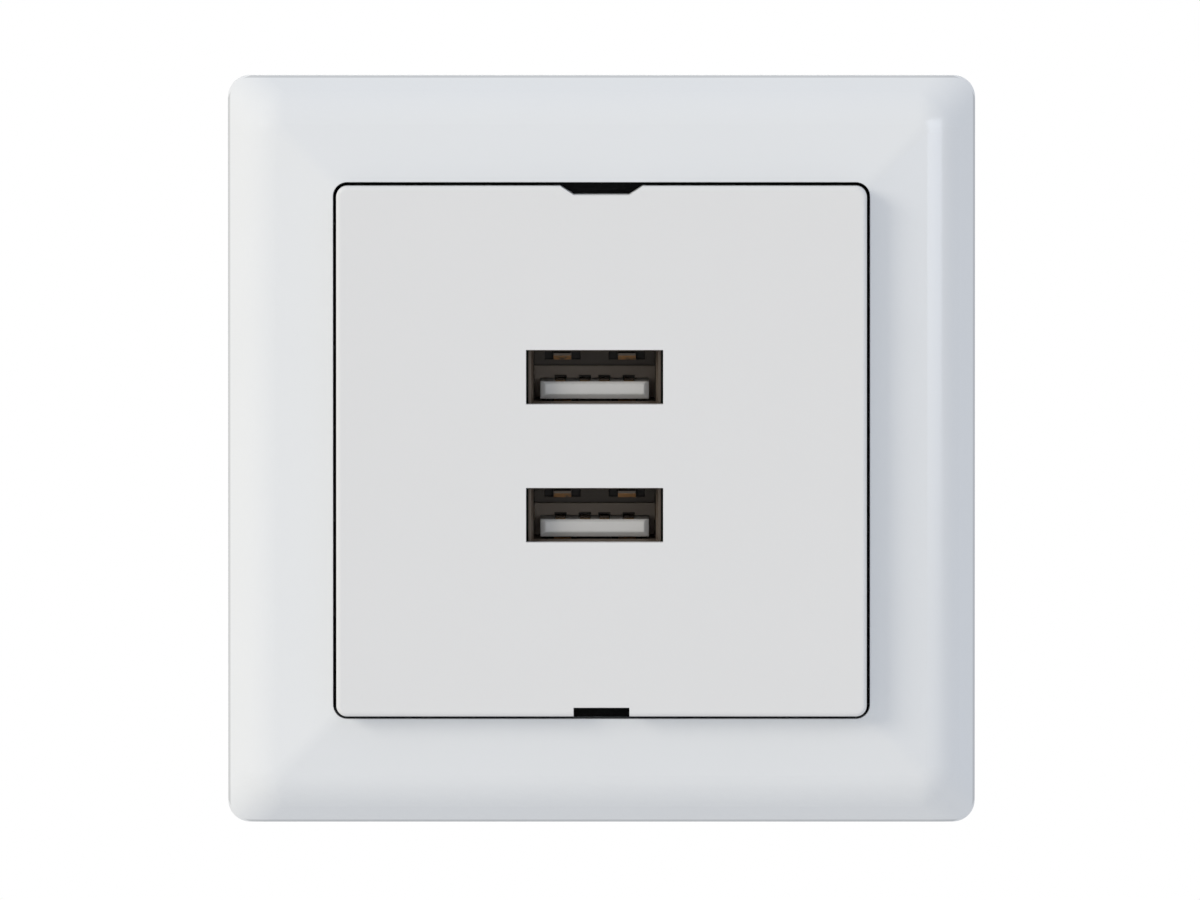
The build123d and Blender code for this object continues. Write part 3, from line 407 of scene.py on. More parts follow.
@dataclass(frozen=True)
class Finish:
    """A colour and a polish that become a material."""

    colour: Colour
    roughness: float

    def make(self, slot: Slot) -> bpy.types.Material:
        """Makes the material of a slot.

        Args:
            slot: The slot that it is for.

        Returns:
            The material.
        """
        recipe = Recipe(slot.value)
        self.paint(recipe)
        return recipe.material

    def paint(self, recipe: Recipe) -> None:
        """Mixes the finish."""
        raise NotImplementedError


@dataclass(frozen=True)
class Moulding(Finish):
    """Injection-moulded plastic: even colour, faint flow clouds and the tool's grain."""

    grain: float = 0.18 * MM
    depth: float = 0.004 * MM
    edge: float = 0.12 * MM
    flow: float = 9 * MM
    clouds: float = 0.03

    def paint(self, recipe: Recipe) -> None:
        """Mixes the finish.

        Args:
            recipe: The recipe of its material.
        """
        cloud = recipe.cloud(self.flow, 3.0)
        grain = recipe.cloud(self.grain)
        pale, deep = shaded(self.colour, 1 + self.clouds / 2), shaded(self.colour, 1 - self.clouds / 2)
        recipe.shine(
            Base_Color=recipe.blend(cloud, deep, pale),
            Roughness=self.roughness - 0.03 + 0.04 * cloud + 0.03 * grain,
        )
        recipe.relief(grain, self.depth, self.edge)


@dataclass(frozen=True)
class RimShadedMoulding(Moulding):
    """Moulding with a painted shade line round its outer rim, a little darker than its face."""

    # Half the frame's side, radius of its corners, and y of the front of its rim.
    half: float = 38.25 * MM
    corner: float = 2.2 * MM
    front: float = -2.4 * MM
    line: float = 0.22 * MM
    soft: float = 0.05 * MM
    shade: float = 0.74

    def paint(self, recipe: Recipe) -> None:
        """Mixes the finish.

        Args:
            recipe: The recipe of its material.
        """
        super().paint(recipe)
        x, z = (recipe.along(axis).size().past(self.half - self.corner) for axis in (Axis.X, Axis.Z))
        inner, behind = self.corner - self.line, self.front + self.line
        # Painted shade: a thin band along the outer rim, blended towards the shaded colour.
        rim = (x * x + z * z).root().step(inner - self.soft, inner + self.soft)
        rim = rim * recipe.along(Axis.Y).step(behind + self.soft, behind)
        recipe.shine(Base_Color=recipe.blend(rim, recipe.tone(), shaded(self.colour, self.shade)))


@dataclass(frozen=True)
class SteppedMoulding(Moulding):
    """Moulding with painted shade in its recess behind a step, darker than its face, and darker painted shade
    in its pockets.
    """

    # y of each step, and the share of the face's colour that is left behind it, as painted shade.
    steps: tuple[float, float] = (3.0 * MM, 3.75 * MM)
    shades: tuple[float, float] = (0.4, 0.06)
    soft: float = 0.15 * MM

    def paint(self, recipe: Recipe) -> None:
        """Mixes the finish.

        Args:
            recipe: The recipe of its material.
        """
        super().paint(recipe)
        tone = recipe.tone()
        for step, shade in zip(self.steps, self.shades):
            # Painted shade: past each step in y, the colour drops to its share.
            deep = recipe.along(Axis.Y).step(step - self.soft, step + self.soft)
            tone = recipe.blend(deep, tone, shaded(self.colour, shade))
        recipe.shine(Base_Color=tone)


@dataclass(frozen=True)
class PlatedSteel(Finish):
    """Plated sheet or bar: rolling streaks, patches of the plating bath and fine pits."""

    patch: Colour = (0.5, 0.5, 0.5)
    stretch: Point = (1.0, 6.0, 1.0)
    streak: float = 0.25 * MM
    patch_size: float = 5 * MM
    pit: float = 0.12 * MM
    depth: float = 0.003 * MM
    edge: float = 0.1 * MM

    def paint(self, recipe: Recipe) -> None:
        """Mixes the finish.

        Args:
            recipe: The recipe of its material.
        """
        streaks = recipe.cloud(self.streak, 4.0, self.stretch)
        patches = recipe.cloud(self.patch_size, 4.0).step(0.35, 0.7)
        pits = recipe.cloud(self.pit, 1.0).step(0.62, 0.75)
        tone = recipe.blend(patches, self.colour, self.patch)
        recipe.shine(
            Metallic=1.0,
            Base_Color=recipe.blend(0.35 * streaks + 0.3 * pits, tone, shaded(self.patch, 0.55)),
            Roughness=self.roughness - 0.06 + 0.12 * streaks + 0.1 * patches,
        )
        recipe.relief(streaks - 0.6 * pits, self.depth, self.edge)


@dataclass(frozen=True)
class ShellSteel(PlatedSteel):
    """Receptacle shell: dull plating, lighter bronze in patches on the springs' bends, and painted shade on
    the faces that look to the front, such as the cut edges.
    """

    bronze: Colour = seen(176, 132, 88)
    # Width of the springs, x of their middles, and y between which they are bent.
    spring_width: float = 2.2 * MM
    spring_places: tuple[float, float] = (-4.0 * MM, 2.6 * MM)
    bend_span: tuple[float, float] = (-6.2 * MM, -4.4 * MM)
    soft: float = 0.3 * MM
    bend_patch_size: float = 0.5 * MM
    plating: float = 0.55

    def paint(self, recipe: Recipe) -> None:
        """Mixes the finish.

        Args:
            recipe: The recipe of its material.
        """
        super().paint(recipe)
        x, y = recipe.along(Axis.X), recipe.along(Axis.Y)
        half = self.spring_width / 2
        first, last = self.bend_span
        # Lighter bronze in patches over the band where the springs are bent.
        bend_band = y.step(first, first + self.soft) * y.step(last + self.soft, last)
        places = [(x - place).size().step(half + self.soft, half) for place in self.spring_places]
        bend_patches = recipe.cloud(self.bend_patch_size, 3.0).step(0.25, 0.6)
        metal = recipe.blend(bend_band * (places[0] + places[1]) * bend_patches, recipe.tone(), self.bronze)
        # Painted shade: faces that look to the front, such as the sheet's cut edges, keep 0.4 of the colour.
        front_shaded = recipe.blend(recipe.facing().step(-0.9, -0.97), metal, shaded(self.colour, 0.4))
        recipe.shine(Base_Color=front_shaded, Metallic=self.plating)


@dataclass(frozen=True)
class Laminate(Finish):
    """Circuit board: woven glass under lacquer, with copper tracks that show through it."""

    track: Colour = (0.1, 0.4, 0.15)
    pitch: float = 1.1 * MM
    strand: float = 0.5 * MM
    region: float = 6 * MM
    depth: float = 0.03 * MM

    def paint(self, recipe: Recipe) -> None:
        """Mixes the finish.

        Args:
            recipe: The recipe of its material.
        """
        x, z = recipe.along(Axis.X), recipe.along(Axis.Z)
        weave = 0.5 * (x.wave(self.strand) + z.wave(self.strand))
        regions = recipe.cells(self.region).step(0.5, 0.55)
        rows, columns = (way.wave(2 * self.pitch).step(0.45, 0.6) for way in (x, z))
        tracks = regions * rows + (1 - regions) * columns
        ground = recipe.blend(0.25 * weave, self.colour, shaded(self.colour, 1.7))
        recipe.shine(
            Base_Color=recipe.blend(tracks, ground, self.track),
            Roughness=self.roughness + 0.12 * weave - 0.05 * tracks,
            Coat_Weight=0.35,
            Coat_Roughness=0.15,
        )
        recipe.relief(tracks + 0.1 * weave, self.depth)


@dataclass(frozen=True)
class Sintered(Finish):
    """Pressed and fired powder: matt, speckled and slightly pitted."""

    speck: Colour = (0.2, 0.2, 0.21)
    speck_size: float = 0.1 * MM
    pit: float = 0.35 * MM
    depth: float = 0.02 * MM
    edge: float = 0.12 * MM

    def paint(self, recipe: Recipe) -> None:
        """Mixes the finish.

        Args:
            recipe: The recipe of its material.
        """
        specks = recipe.cloud(self.speck_size, 3.0).step(0.55, 0.75)
        pits = recipe.cloud(self.pit)
        recipe.shine(
            Base_Color=recipe.blend(specks, self.colour, self.speck),
            Roughness=self.roughness + 0.15 * pits - 0.2 * specks,
        )
        recipe.relief(pits, self.depth, self.edge)


@dataclass(frozen=True)
class TapeWrap(Finish):
    """Polyester tape over wire: turns of the wire press through, and the tape's edges overlap."""

    wire: Colour = (0.55, 0.25, 0.08)
    turn: float = 0.35 * MM
    lap: float = 2.4 * MM
    crease: float = 0.8 * MM
    depth: float = 0.04 * MM

    def paint(self, recipe: Recipe) -> None:
        """Mixes the finish.

        Args:
            recipe: The recipe of its material.
        """
        z = recipe.along(Axis.Z)
        turns = z.wave(self.turn)
        laps = z.wave(self.lap).step(0.9, 0.98)
        creases = recipe.cloud(self.crease, 3.0)
        tape = recipe.blend(0.35 * turns, self.colour, self.wire)
        recipe.shine(
            Base_Color=recipe.blend(0.5 * laps, tape, shaded(self.colour, 0.5)),
            Roughness=self.roughness + 0.15 * creases,
            Coat_Weight=0.4,
            Coat_Roughness=0.2,
        )
        recipe.relief(0.5 * turns + 0.5 * creases + laps, self.depth)


@dataclass(frozen=True)
class Sleeve(Finish):
    """Shrunk sleeve: glossy film with soft wrinkles."""

    wrinkle: float = 1.4 * MM
    stretch: Point = (1.0, 3.0, 1.0)
    dust: float = 0.2 * MM
    depth: float = 0.03 * MM

    def paint(self, recipe: Recipe) -> None:
        """Mixes the finish.

        Args:
            recipe: The recipe of its material.
        """
        wrinkles = recipe.cloud(self.wrinkle, stretch=self.stretch)
        dust = recipe.cloud(self.dust).step(0.6, 0.8)
        recipe.shine(
            Base_Color=recipe.blend(0.3 * dust, self.colour, shaded(self.colour, 1.6)),
            Roughness=self.roughness + 0.1 * wrinkles + 0.15 * dust,
        )
        recipe.relief(wrinkles, self.depth)


@dataclass(frozen=True)
class CanSleeve(Sleeve):
    """Capacitor can: a shrunk sleeve round the side and bare aluminium on top."""

    top: Colour = (0.6, 0.6, 0.6)
    brush: float = 0.15 * MM
    brush_stretch: Point = (4.0, 1.0, 1.0)

    def paint(self, recipe: Recipe) -> None:
        """Mixes the finish.

        Args:
            recipe: The recipe of its material.
        """
        super().paint(recipe)
        bare = recipe.facing().step(-0.5, -0.8)
        brushed = recipe.cloud(self.brush, 3.0, self.brush_stretch)
        metal = recipe.blend(brushed, self.top, shaded(self.top, 0.8))
        recipe.shine(Base_Color=recipe.blend(bare, recipe.tone(), metal), Metallic=bare)


FINISHES: dict[Slot, Finish] = {
    Slot.FRAME: RimShadedMoulding(seen(222, 225, 227), 0.15, grain=1.6 * MM, depth=0.002 * MM, clouds=0.02),
    Slot.PLATE: Moulding(seen(219, 220, 220), 0.5, grain=0.16 * MM, depth=0.004 * MM, clouds=0.015),
    # Near-black seal: partly the seal's own dark colour, partly painted shade that keeps the gap round the
    # plate dark.
    Slot.SEAL: Sintered(seen(20, 20, 21), 0.85, speck=seen(34, 34, 36)),
    Slot.ZINC: PlatedSteel(seen(194, 197, 200), 0.3, patch=seen(184, 187, 188), stretch=(6.0, 1.0, 1.0)),
    Slot.SCREW: PlatedSteel(seen(188, 189, 188), 0.3, patch=seen(172, 171, 164), stretch=(1.0, 1.0, 1.0)),
    Slot.COVER: Moulding(seen(46, 47, 48), 0.5, grain=0.25 * MM, depth=0.006 * MM, clouds=0.12),
    Slot.CASE: Moulding(seen(62, 63, 66), 0.48, grain=0.3 * MM, depth=0.008 * MM, clouds=0.12),
    Slot.SHELL: ShellSteel(seen(122, 110, 98), 0.36, patch=seen(104, 92, 80), stretch=(1.0, 7.0, 1.0)),
    Slot.CARRIER: SteppedMoulding(seen(178, 165, 150), 0.5, clouds=0.1),
    Slot.TONGUE: Moulding(seen(190, 190, 188), 0.45, clouds=0.04, edge=0.3 * MM),
    # Contacts: gold darkened to a dull brown, painted shade for contacts that sit deep in the receptacle's
    # mouth.
    Slot.CONTACT: PlatedSteel(seen(128, 98, 50), 0.2, patch=seen(104, 76, 38), edge=0.05 * MM),
    Slot.BOARD: Laminate(seen(22, 74, 44), 0.4, track=seen(40, 108, 62)),
    Slot.PIN: PlatedSteel(seen(208, 206, 198), 0.28, patch=seen(180, 176, 164), edge=0.05 * MM),
    Slot.CHIP: Moulding(seen(34, 34, 35), 0.55, grain=0.08 * MM, depth=0.01 * MM, clouds=0.15),
    Slot.FERRITE: Sintered(seen(58, 58, 60), 0.6, speck=seen(92, 92, 96)),
    Slot.BOBBIN: Moulding(seen(40, 40, 42), 0.45, clouds=0.1),
    Slot.TAPE: TapeWrap(seen(214, 176, 52), 0.3, wire=seen(168, 106, 50)),
    Slot.CAN: CanSleeve(seen(38, 42, 52), 0.3, top=seen(196, 198, 200)),
    Slot.FUSE: Sleeve(seen(120, 138, 118), 0.35, wrinkle=0.6 * MM),
    Slot.CHOKE: Sleeve(seen(30, 30, 31), 0.35, wrinkle=0.7 * MM, depth=0.06 * MM),
    Slot.DISC: Sleeve(seen(42, 92, 170), 0.3, wrinkle=2.0 * MM, depth=0.05 * MM),
    Slot.TERMINAL: Moulding(seen(186, 188, 190), 0.42, grain=0.25 * MM, depth=0.005 * MM, clouds=0.04),
    Slot.CAGE: PlatedSteel(seen(188, 188, 180), 0.34, patch=seen(168, 160, 132), stretch=(1.0, 1.0, 5.0)),
    Slot.BAR: PlatedSteel(seen(206, 170, 92), 0.28, patch=seen(180, 138, 70), stretch=(1.0, 1.0, 6.0)),
}


class Wardrobe:
    """Makes each slot's material once and puts it on nodes and pieces."""

    def __init__(self, nodes: Mapping[str, Piece]) -> None:
        """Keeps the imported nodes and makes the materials.

        Args:
            nodes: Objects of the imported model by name.
        """
        self.nodes = nodes
        self.materials = {slot: finish.make(slot) for slot, finish in FINISHES.items()}

    def dress(self, slot: Slot, *names: str) -> None:
        """Puts a slot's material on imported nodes.

        Args:
            slot: The slot.
            names: Names of the nodes.
        """
        for name in names:
            node = self.nodes[name]
            for place in node.material_slots:
                place.material = self.materials[slot]
            LOG.info("%s wears %s", name, slot.value)

    def mount(self, piece: Piece, slot: Slot, body: str, *nodes: str) -> None:
        """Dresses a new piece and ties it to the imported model.

        Args:
            piece: The piece, finished and in place.
            slot: The slot of its finish.
            body: The body that it rides on.
            nodes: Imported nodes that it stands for.
        """
        if not piece.data.materials:
            piece.data.materials.append(self.materials[slot])
        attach(piece, body)
        if nodes:
            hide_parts(*nodes)
        LOG.info("%s rides on %s", piece.name, body)


class Bench:
    """Modelling by hand, one piece at a time."""

    @staticmethod
    def clear() -> None:
        """Leaves nothing selected."""
        bpy.ops.object.select_all(action="DESELECT")

    @staticmethod
    def hold(piece: Piece) -> None:
        """Selects one piece and makes it the active one.

        Args:
            piece: The piece.
        """
        Bench.clear()
        piece.select_set(True)
        bpy.context.view_layer.objects.active = piece

    @staticmethod
    def edit(piece: Piece, work: Callable[[], object]) -> None:
        """Works on a whole piece in edit mode.

        Args:
            piece: The piece.
            work: The operators to run.
        """
        Bench.hold(piece)
        bpy.ops.object.mode_set(mode="EDIT")
        bpy.ops.mesh.select_mode(type="VERT")
        bpy.ops.mesh.select_all(action="SELECT")
        work()
        bpy.ops.object.mode_set(mode="OBJECT")

    @staticmethod
    def pick(piece: Piece, kind: Pick, test: Callable[[Element], bool], work: Callable[[], object]) -> None:
        """Works in edit mode on the points or faces that pass a test.

        Args:
            piece: The piece.
            kind: Points or faces.
            test: The test of one point or face.
            work: The operators to run.
        """

        def settle() -> None:
            """Leaves nothing selected in the mesh."""
            bpy.ops.mesh.select_mode(type=kind.value)
            bpy.ops.mesh.select_all(action="DESELECT")

        Bench.edit(piece, settle)
        mesh = piece.data
        for element in mesh.polygons if kind is Pick.FACES else mesh.vertices:
            element.select = test(element)
        bpy.ops.object.mode_set(mode="EDIT")
        work()
        bpy.ops.object.mode_set(mode="OBJECT")

    @staticmethod
    def close(piece: Piece) -> None:
        """Merges doubles and turns the faces outwards.

        Args:
            piece: The piece.
        """

        def work() -> None:
            """Operators on the whole mesh."""
            bpy.ops.mesh.remove_doubles(threshold=WELD)
            bpy.ops.mesh.normals_make_consistent(inside=False)

        Bench.edit(piece, work)

    @staticmethod
    def apply(piece: Piece, kind: str, **settings: object) -> None:
        """Adds a modifier and applies it.

        Args:
            piece: The piece.
            kind: Type of the modifier.
            settings: Its properties.
        """
        Bench.hold(piece)
        bpy.ops.object.modifier_add(type=kind)
        modifier = piece.modifiers[-1]
        for name, value in settings.items():
            setattr(modifier, name, value)
        bpy.ops.object.modifier_apply(modifier=modifier.name)

    @staticmethod
    def turn(name: str, profile: Profile, facets: Facets = Facets.MEDIUM) -> Piece:
        """Turns a closed profile about the y axis.

        Args:
            name: Name of the piece.
            profile: Points of radius and y, from one end of the axis to the other.
            facets: Number of facets round the axis.

        Returns:
            The turned piece.
        """
        Bench.clear()
        bpy.ops.mesh.primitive_plane_add(size=MM)
        piece = bpy.context.object
        piece.name = name

        def work() -> None:
            """One point, drawn along the profile and spun."""
            bpy.ops.mesh.merge(type="CENTER")
            bpy.ops.transform.translate(value=(*profile[0], 0))
            for (radius, y), (next_radius, next_y) in zip(profile, profile[1:]):
                move = (next_radius - radius, next_y - y, 0)
                bpy.ops.mesh.extrude_vertices_move(TRANSFORM_OT_translate={"value": move})
            bpy.ops.mesh.select_all(action="SELECT")
            bpy.ops.mesh.spin(steps=facets.value, angle=2 * math.pi, center=ORIGIN, axis=(0, 1, 0))

        Bench.edit(piece, work)
        Bench.close(piece)
        return piece

    @staticmethod
    def thread(radius: float, depth: float, pitch: float, start: float, turns: int) -> Piece:
        """Winds one ridge of a thread about the y axis.

        Args:
            radius: Radius of the crest.
            depth: Height of the ridge.
            pitch: Rise of one turn.
            start: y where the ridge begins.
            turns: Number of turns.

        Returns:
            The ridge, closed at both ends.
        """
        Bench.clear()
        bpy.ops.mesh.primitive_circle_add(vertices=3, radius=depth)
        ridge = bpy.context.object
        flank, facets = 0.45 * pitch / depth, 28

        def work() -> None:
            """A three-cornered section with its crest outwards."""
            bpy.ops.transform.rotate(value=math.pi / 2, orient_axis="Z", center_override=ORIGIN)
            bpy.ops.transform.resize(value=(1, flank, 1), center_override=ORIGIN)
            bpy.ops.transform.translate(value=(radius - depth, start, 0))

        Bench.edit(ridge, work)
        rise = {"axis": "Y", "angle": 2 * math.pi, "screw_offset": pitch, "iterations": turns}
        Bench.apply(ridge, "SCREW", **rise, steps=facets, render_steps=facets)
        Bench.edit(ridge, lambda: bpy.ops.mesh.fill_holes(sides=3))
        Bench.close(ridge)
        return ridge

    @staticmethod
    def bar(low: Point, high: Point) -> Piece:
        """Adds a box between two corners.

        Args:
            low: Lowest corner.
            high: Highest corner.

        Returns:
            The box.
        """
        Bench.clear()
        middle = [(a + b) / 2 for a, b in zip(low, high)]
        sides = [b - a for a, b in zip(low, high)]
        bpy.ops.mesh.primitive_cube_add(size=1, location=middle, scale=sides)
        bpy.ops.object.transform_apply(location=True, rotation=True, scale=True)
        return bpy.context.object

    @staticmethod
    def pull(piece: Piece, facing: Point, path: Sequence[Point]) -> None:
        """Draws out the end that faces one way, along a path of steps.

        Args:
            piece: The piece.
            facing: Direction that the end faces.
            path: The steps, one after the other.
        """

        def work() -> None:
            """One extrusion for each step."""
            for step in path:
                bpy.ops.mesh.extrude_region_move(TRANSFORM_OT_translate={"value": step})

        Bench.pick(piece, Pick.FACES, lambda face: face.normal.dot(Vector(facing)) > ALIGNED, work)

    @staticmethod
    def taper(piece: Piece, reach: float, scale: Point, middle: Vector) -> None:
        """Narrows both ends of a piece along y.

        Args:
            piece: The piece.
            reach: Distance from the middle past which points belong to an end.
            scale: Share of its size that an end keeps along each axis.
            middle: Middle of the piece.
        """

        def work() -> None:
            """Both ends at once, about the middle."""
            bpy.ops.transform.resize(value=scale, center_override=middle)

        Bench.pick(piece, Pick.POINTS, lambda point: abs(point.co.y - middle.y) > reach, work)

    @staticmethod
    def swing(piece: Piece, angle: float, axis: Axis) -> None:
        """Turns a piece's mesh about an axis through the origin."""
        turn = {"value": angle, "orient_axis": axis.value, "center_override": ORIGIN}
        Bench.edit(piece, lambda: bpy.ops.transform.rotate(**turn))

    @staticmethod
    def cut(piece: Piece, tool: Piece) -> None:
        """Cuts a tool's shape out of a piece and removes the tool."""
        Bench.apply(piece, "BOOLEAN", operation="DIFFERENCE", solver="EXACT", object=tool)
        bpy.data.objects.remove(tool)

    @staticmethod
    def join(piece: Piece, others: Sequence[Piece]) -> None:
        """Joins other pieces into one piece.

        Args:
            piece: The piece that stays.
            others: The pieces that go into it.
        """
        Bench.hold(piece)
        for other in others:
            other.select_set(True)
        bpy.ops.object.join()

    @staticmethod
    def copy(piece: Piece, name: str, move: Point) -> Piece:
        """Copies a piece with its own mesh.

        Args:
            piece: The piece to copy.
            name: Name of the copy.
            move: How far the copy is moved.

        Returns:
            The copy.
        """
        twin = piece.copy()
        twin.data = piece.data.copy()
        twin.name = name
        bpy.context.scene.collection.objects.link(twin)
        Bench.shift(twin, move)
        return twin

    @staticmethod
    def shift(piece: Piece, move: Point) -> None:
        """Moves a piece's mesh."""
        Bench.edit(piece, lambda: bpy.ops.transform.translate(value=move))

    @staticmethod
    def soften(piece: Piece, width: float, segments: int = 2) -> None:
        """Breaks a piece's sharp edges and shades the rest smooth.

        Args:
            piece: The piece.
            width: Width of the broken edge.
            segments: Number of facets across it.
        """
        limit = {"limit_method": "ANGLE", "angle_limit": math.radians(CREASE)}
        Bench.apply(piece, "BEVEL", width=width, segments=segments, **limit)
        Bench.smooth(piece, CREASE)

    @staticmethod
    def smooth(piece: Piece, degrees: float) -> None:
        """Shades a piece smooth, but for edges sharper than an angle."""
        Bench.hold(piece)
        bpy.ops.object.shade_smooth_by_angle(angle=math.radians(degrees))


@dataclass
class WallPlate:
    """Outer frame, centre plate and the seal between them."""

    wardrobe: Wardrobe

    def build(self) -> None:
        """Dresses the mouldings and the seal."""
        self.wardrobe.dress(Slot.FRAME, "outer_frame")
        self.wardrobe.dress(Slot.PLATE, "centre_plate")
        self.wardrobe.dress(Slot.SEAL, "plate_seal")


@dataclass
class UsbPort:
    """One receptacle: shell, carrier with a pocket on each side of each upper spring, tongue and contacts."""

    wardrobe: Wardrobe
    row: Row
    spring_place: float = 3.3 * MM
    pocket_span: tuple[float, float] = (0.95 * MM, 1.85 * MM)
    pocket_height: float = 1.15 * MM
    recess: float = 1.4 * MM
    floor: float = 0.2 * MM

    def build(self) -> None:
        """Dresses the receptacle and models its carrier."""
        end = self.row.value
        self.wardrobe.dress(Slot.SHELL, f"usb_shell_{end}")
        self.wardrobe.dress(Slot.TONGUE, f"usb_tongue_{end}")
        self.wardrobe.dress(Slot.CONTACT, f"usb_contacts_{end}")
        self.carrier(f"usb_carrier_{end}")

    def carrier(self, node: str) -> None:
        """Models the carrier as its solid with the pockets cut in.

        Args:
            node: The carrier's node.
        """
        low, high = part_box(node)
        middle = (low + high) / 2
        piece = Bench.copy(self.wardrobe.nodes[node], f"{node}_pocketed", ORIGIN)
        Bench.close(piece)
        for place in (-self.spring_place, self.spring_place):
            for side in (-1, 1):
                ends = sorted(middle.x + place + side * reach for reach in self.pocket_span)
                near = (ends[0], low.y + self.recess - self.floor, high.z - self.pocket_height)
                far = (ends[1], high.y - self.floor, high.z + self.floor)
                Bench.cut(piece, Bench.bar(near, far))
        piece.data.materials.clear()
        self.wardrobe.mount(piece, Slot.CARRIER, BODY, node)


@dataclass
class Screw:
    """A slotted screw on an axis along y, with a real thread."""

    head_radius: float
    head_height: float
    shank_radius: float
    thread_depth: float = 0.3 * MM
    pitch: float = 0.5 * MM
    slot_width: float = 0.8 * MM
    slot_depth: float = 1.1 * MM
    point_length: float = 0.8 * MM
    chamfer: float = 0.15 * MM
    broken: float = 0.06 * MM
    crossed: bool = False
    cross_share: float = 0.62
    # Points of the crown: share of the head's radius, and drop from the top in millimetres.
    crown: tuple[tuple[float, float], ...] = ((0, 0), (0.72, 0.04), (0.9, 0.2), (1, 0.55))

    def head(self, top: float, seat: float) -> Profile:
        """Profile of the crowned head.

        Args:
            top: y of its crown.
            seat: y of its underside.

        Returns:
            Points from the axis to the underside.
        """
        rise = math.copysign(1, seat - top)
        radius = self.head_radius
        crown = [(share * radius, top + rise * drop * MM) for share, drop in self.crown]
        return [*crown, (radius, seat - rise * self.chamfer), (radius - self.chamfer, seat)]

    def model(self, name: str, place: Vector, top: float, tip: float) -> Piece:
        """Models the screw.

        Args:
            name: Name of the piece.
            place: Any point on its axis.
            top: y of its crown.
            tip: y of its point.

        Returns:
            The screw, in place.
        """
        rise = math.copysign(1, tip - top)
        seat = top + rise * self.head_height
        core = self.shank_radius - self.thread_depth
        neck = tip - rise * self.point_length
        profile = self.head(top, seat)
        profile += [(core, seat), (core, neck), (0.5 * core, tip), (0, tip)]
        screw = Bench.turn(name, profile)
        reach = self.head_radius + MM
        floor = top + rise * self.slot_depth
        ends = sorted((top - rise * MM, floor))
        half = self.slot_width / 2
        Bench.cut(screw, Bench.bar((-reach, ends[0], -half), (reach, ends[1], half)))
        if self.crossed:
            arm = self.cross_share * self.head_radius
            Bench.cut(screw, Bench.bar((-half, ends[0], -arm), (half, ends[1], arm)))
        Bench.soften(screw, self.broken)
        turns = int((abs(neck - seat) - self.pitch) / self.pitch)
        low = min(seat, neck) + self.pitch / 2
        ridge = Bench.thread(self.shank_radius, self.thread_depth, self.pitch, low, turns)
        Bench.join(screw, [ridge])
        Bench.shift(screw, (place.x, 0, place.z))
        return screw


@dataclass
class ClawMount:
    """Support yoke with a spreading claw and its screw on each side."""

    wardrobe: Wardrobe
    screw: Screw = field(
        default_factory=lambda: Screw(head_radius=2.6 * MM, head_height=2.0 * MM, shank_radius=1.5 * MM)
    )

    def build(self) -> None:
        """Dresses yoke and claws and models both screws."""
        self.wardrobe.dress(Slot.ZINC, "support_yoke")
        for side in Side:
            self.wardrobe.dress(Slot.ZINC, f"claw_{side.value}")
            node = f"claw_screw_{side.value}"
            low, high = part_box(node)
            piece = self.screw.model(f"{node}_threaded", (low + high) / 2, low.y, high.y)
            self.wardrobe.mount(piece, Slot.SCREW, node, node)


@dataclass
class ClampTerminal:
    """One mains terminal: rising cage, captive screw and bar."""

    wardrobe: Wardrobe
    pole: Pole
    screw: Screw = field(
        default_factory=lambda: Screw(
            head_radius=2.75 * MM,
            head_height=2.5 * MM,
            shank_radius=1.75 * MM,
            pitch=0.6 * MM,
            point_length=0.5 * MM,
            crossed=True,
        )
    )
    letter_size: float = 5.0 * MM
    letter_inset: float = 4.8 * MM
    relief: float = 0.12 * MM
    draft: float = 0.06 * MM

    def build(self) -> None:
        """Dresses cage and bar and models the screw and the pole's letter."""
        pole = self.pole.value
        self.wardrobe.dress(Slot.CAGE, f"terminal_cage_{pole}")
        self.wardrobe.dress(Slot.BAR, f"terminal_bar_{pole}")
        node = f"terminal_screw_{pole}"
        low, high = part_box(node)
        piece = self.screw.model(f"{node}_threaded", (low + high) / 2, high.y, low.y)
        self.wardrobe.mount(piece, Slot.SCREW, node, node)
        self.letter((low.x + high.x) / 2)

    def letter(self, x: float) -> None:
        """Models the pole's letter in low relief on the block's lower face, beside the wire entry.

        Args:
            x: Middle of the terminal.
        """
        low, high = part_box("terminal_block")
        Bench.clear()
        place = (x, high.y - self.letter_inset, low.z)
        bpy.ops.object.text_add(location=place, rotation=(0, math.pi, 0))
        letter = bpy.context.object
        letter.name = f"terminal_letter_{self.pole.value}"
        text = letter.data
        text.body = self.pole.value[0].upper()
        text.size, text.extrude, text.bevel_depth = self.letter_size, self.relief, self.draft
        text.align_x, text.align_y = "CENTER", "CENTER"
        bpy.ops.object.convert(target="MESH")
        bpy.ops.object.transform_apply(location=True, rotation=True, scale=True)
        Bench.close(letter)
        self.wardrobe.mount(letter, Slot.TERMINAL, BODY)


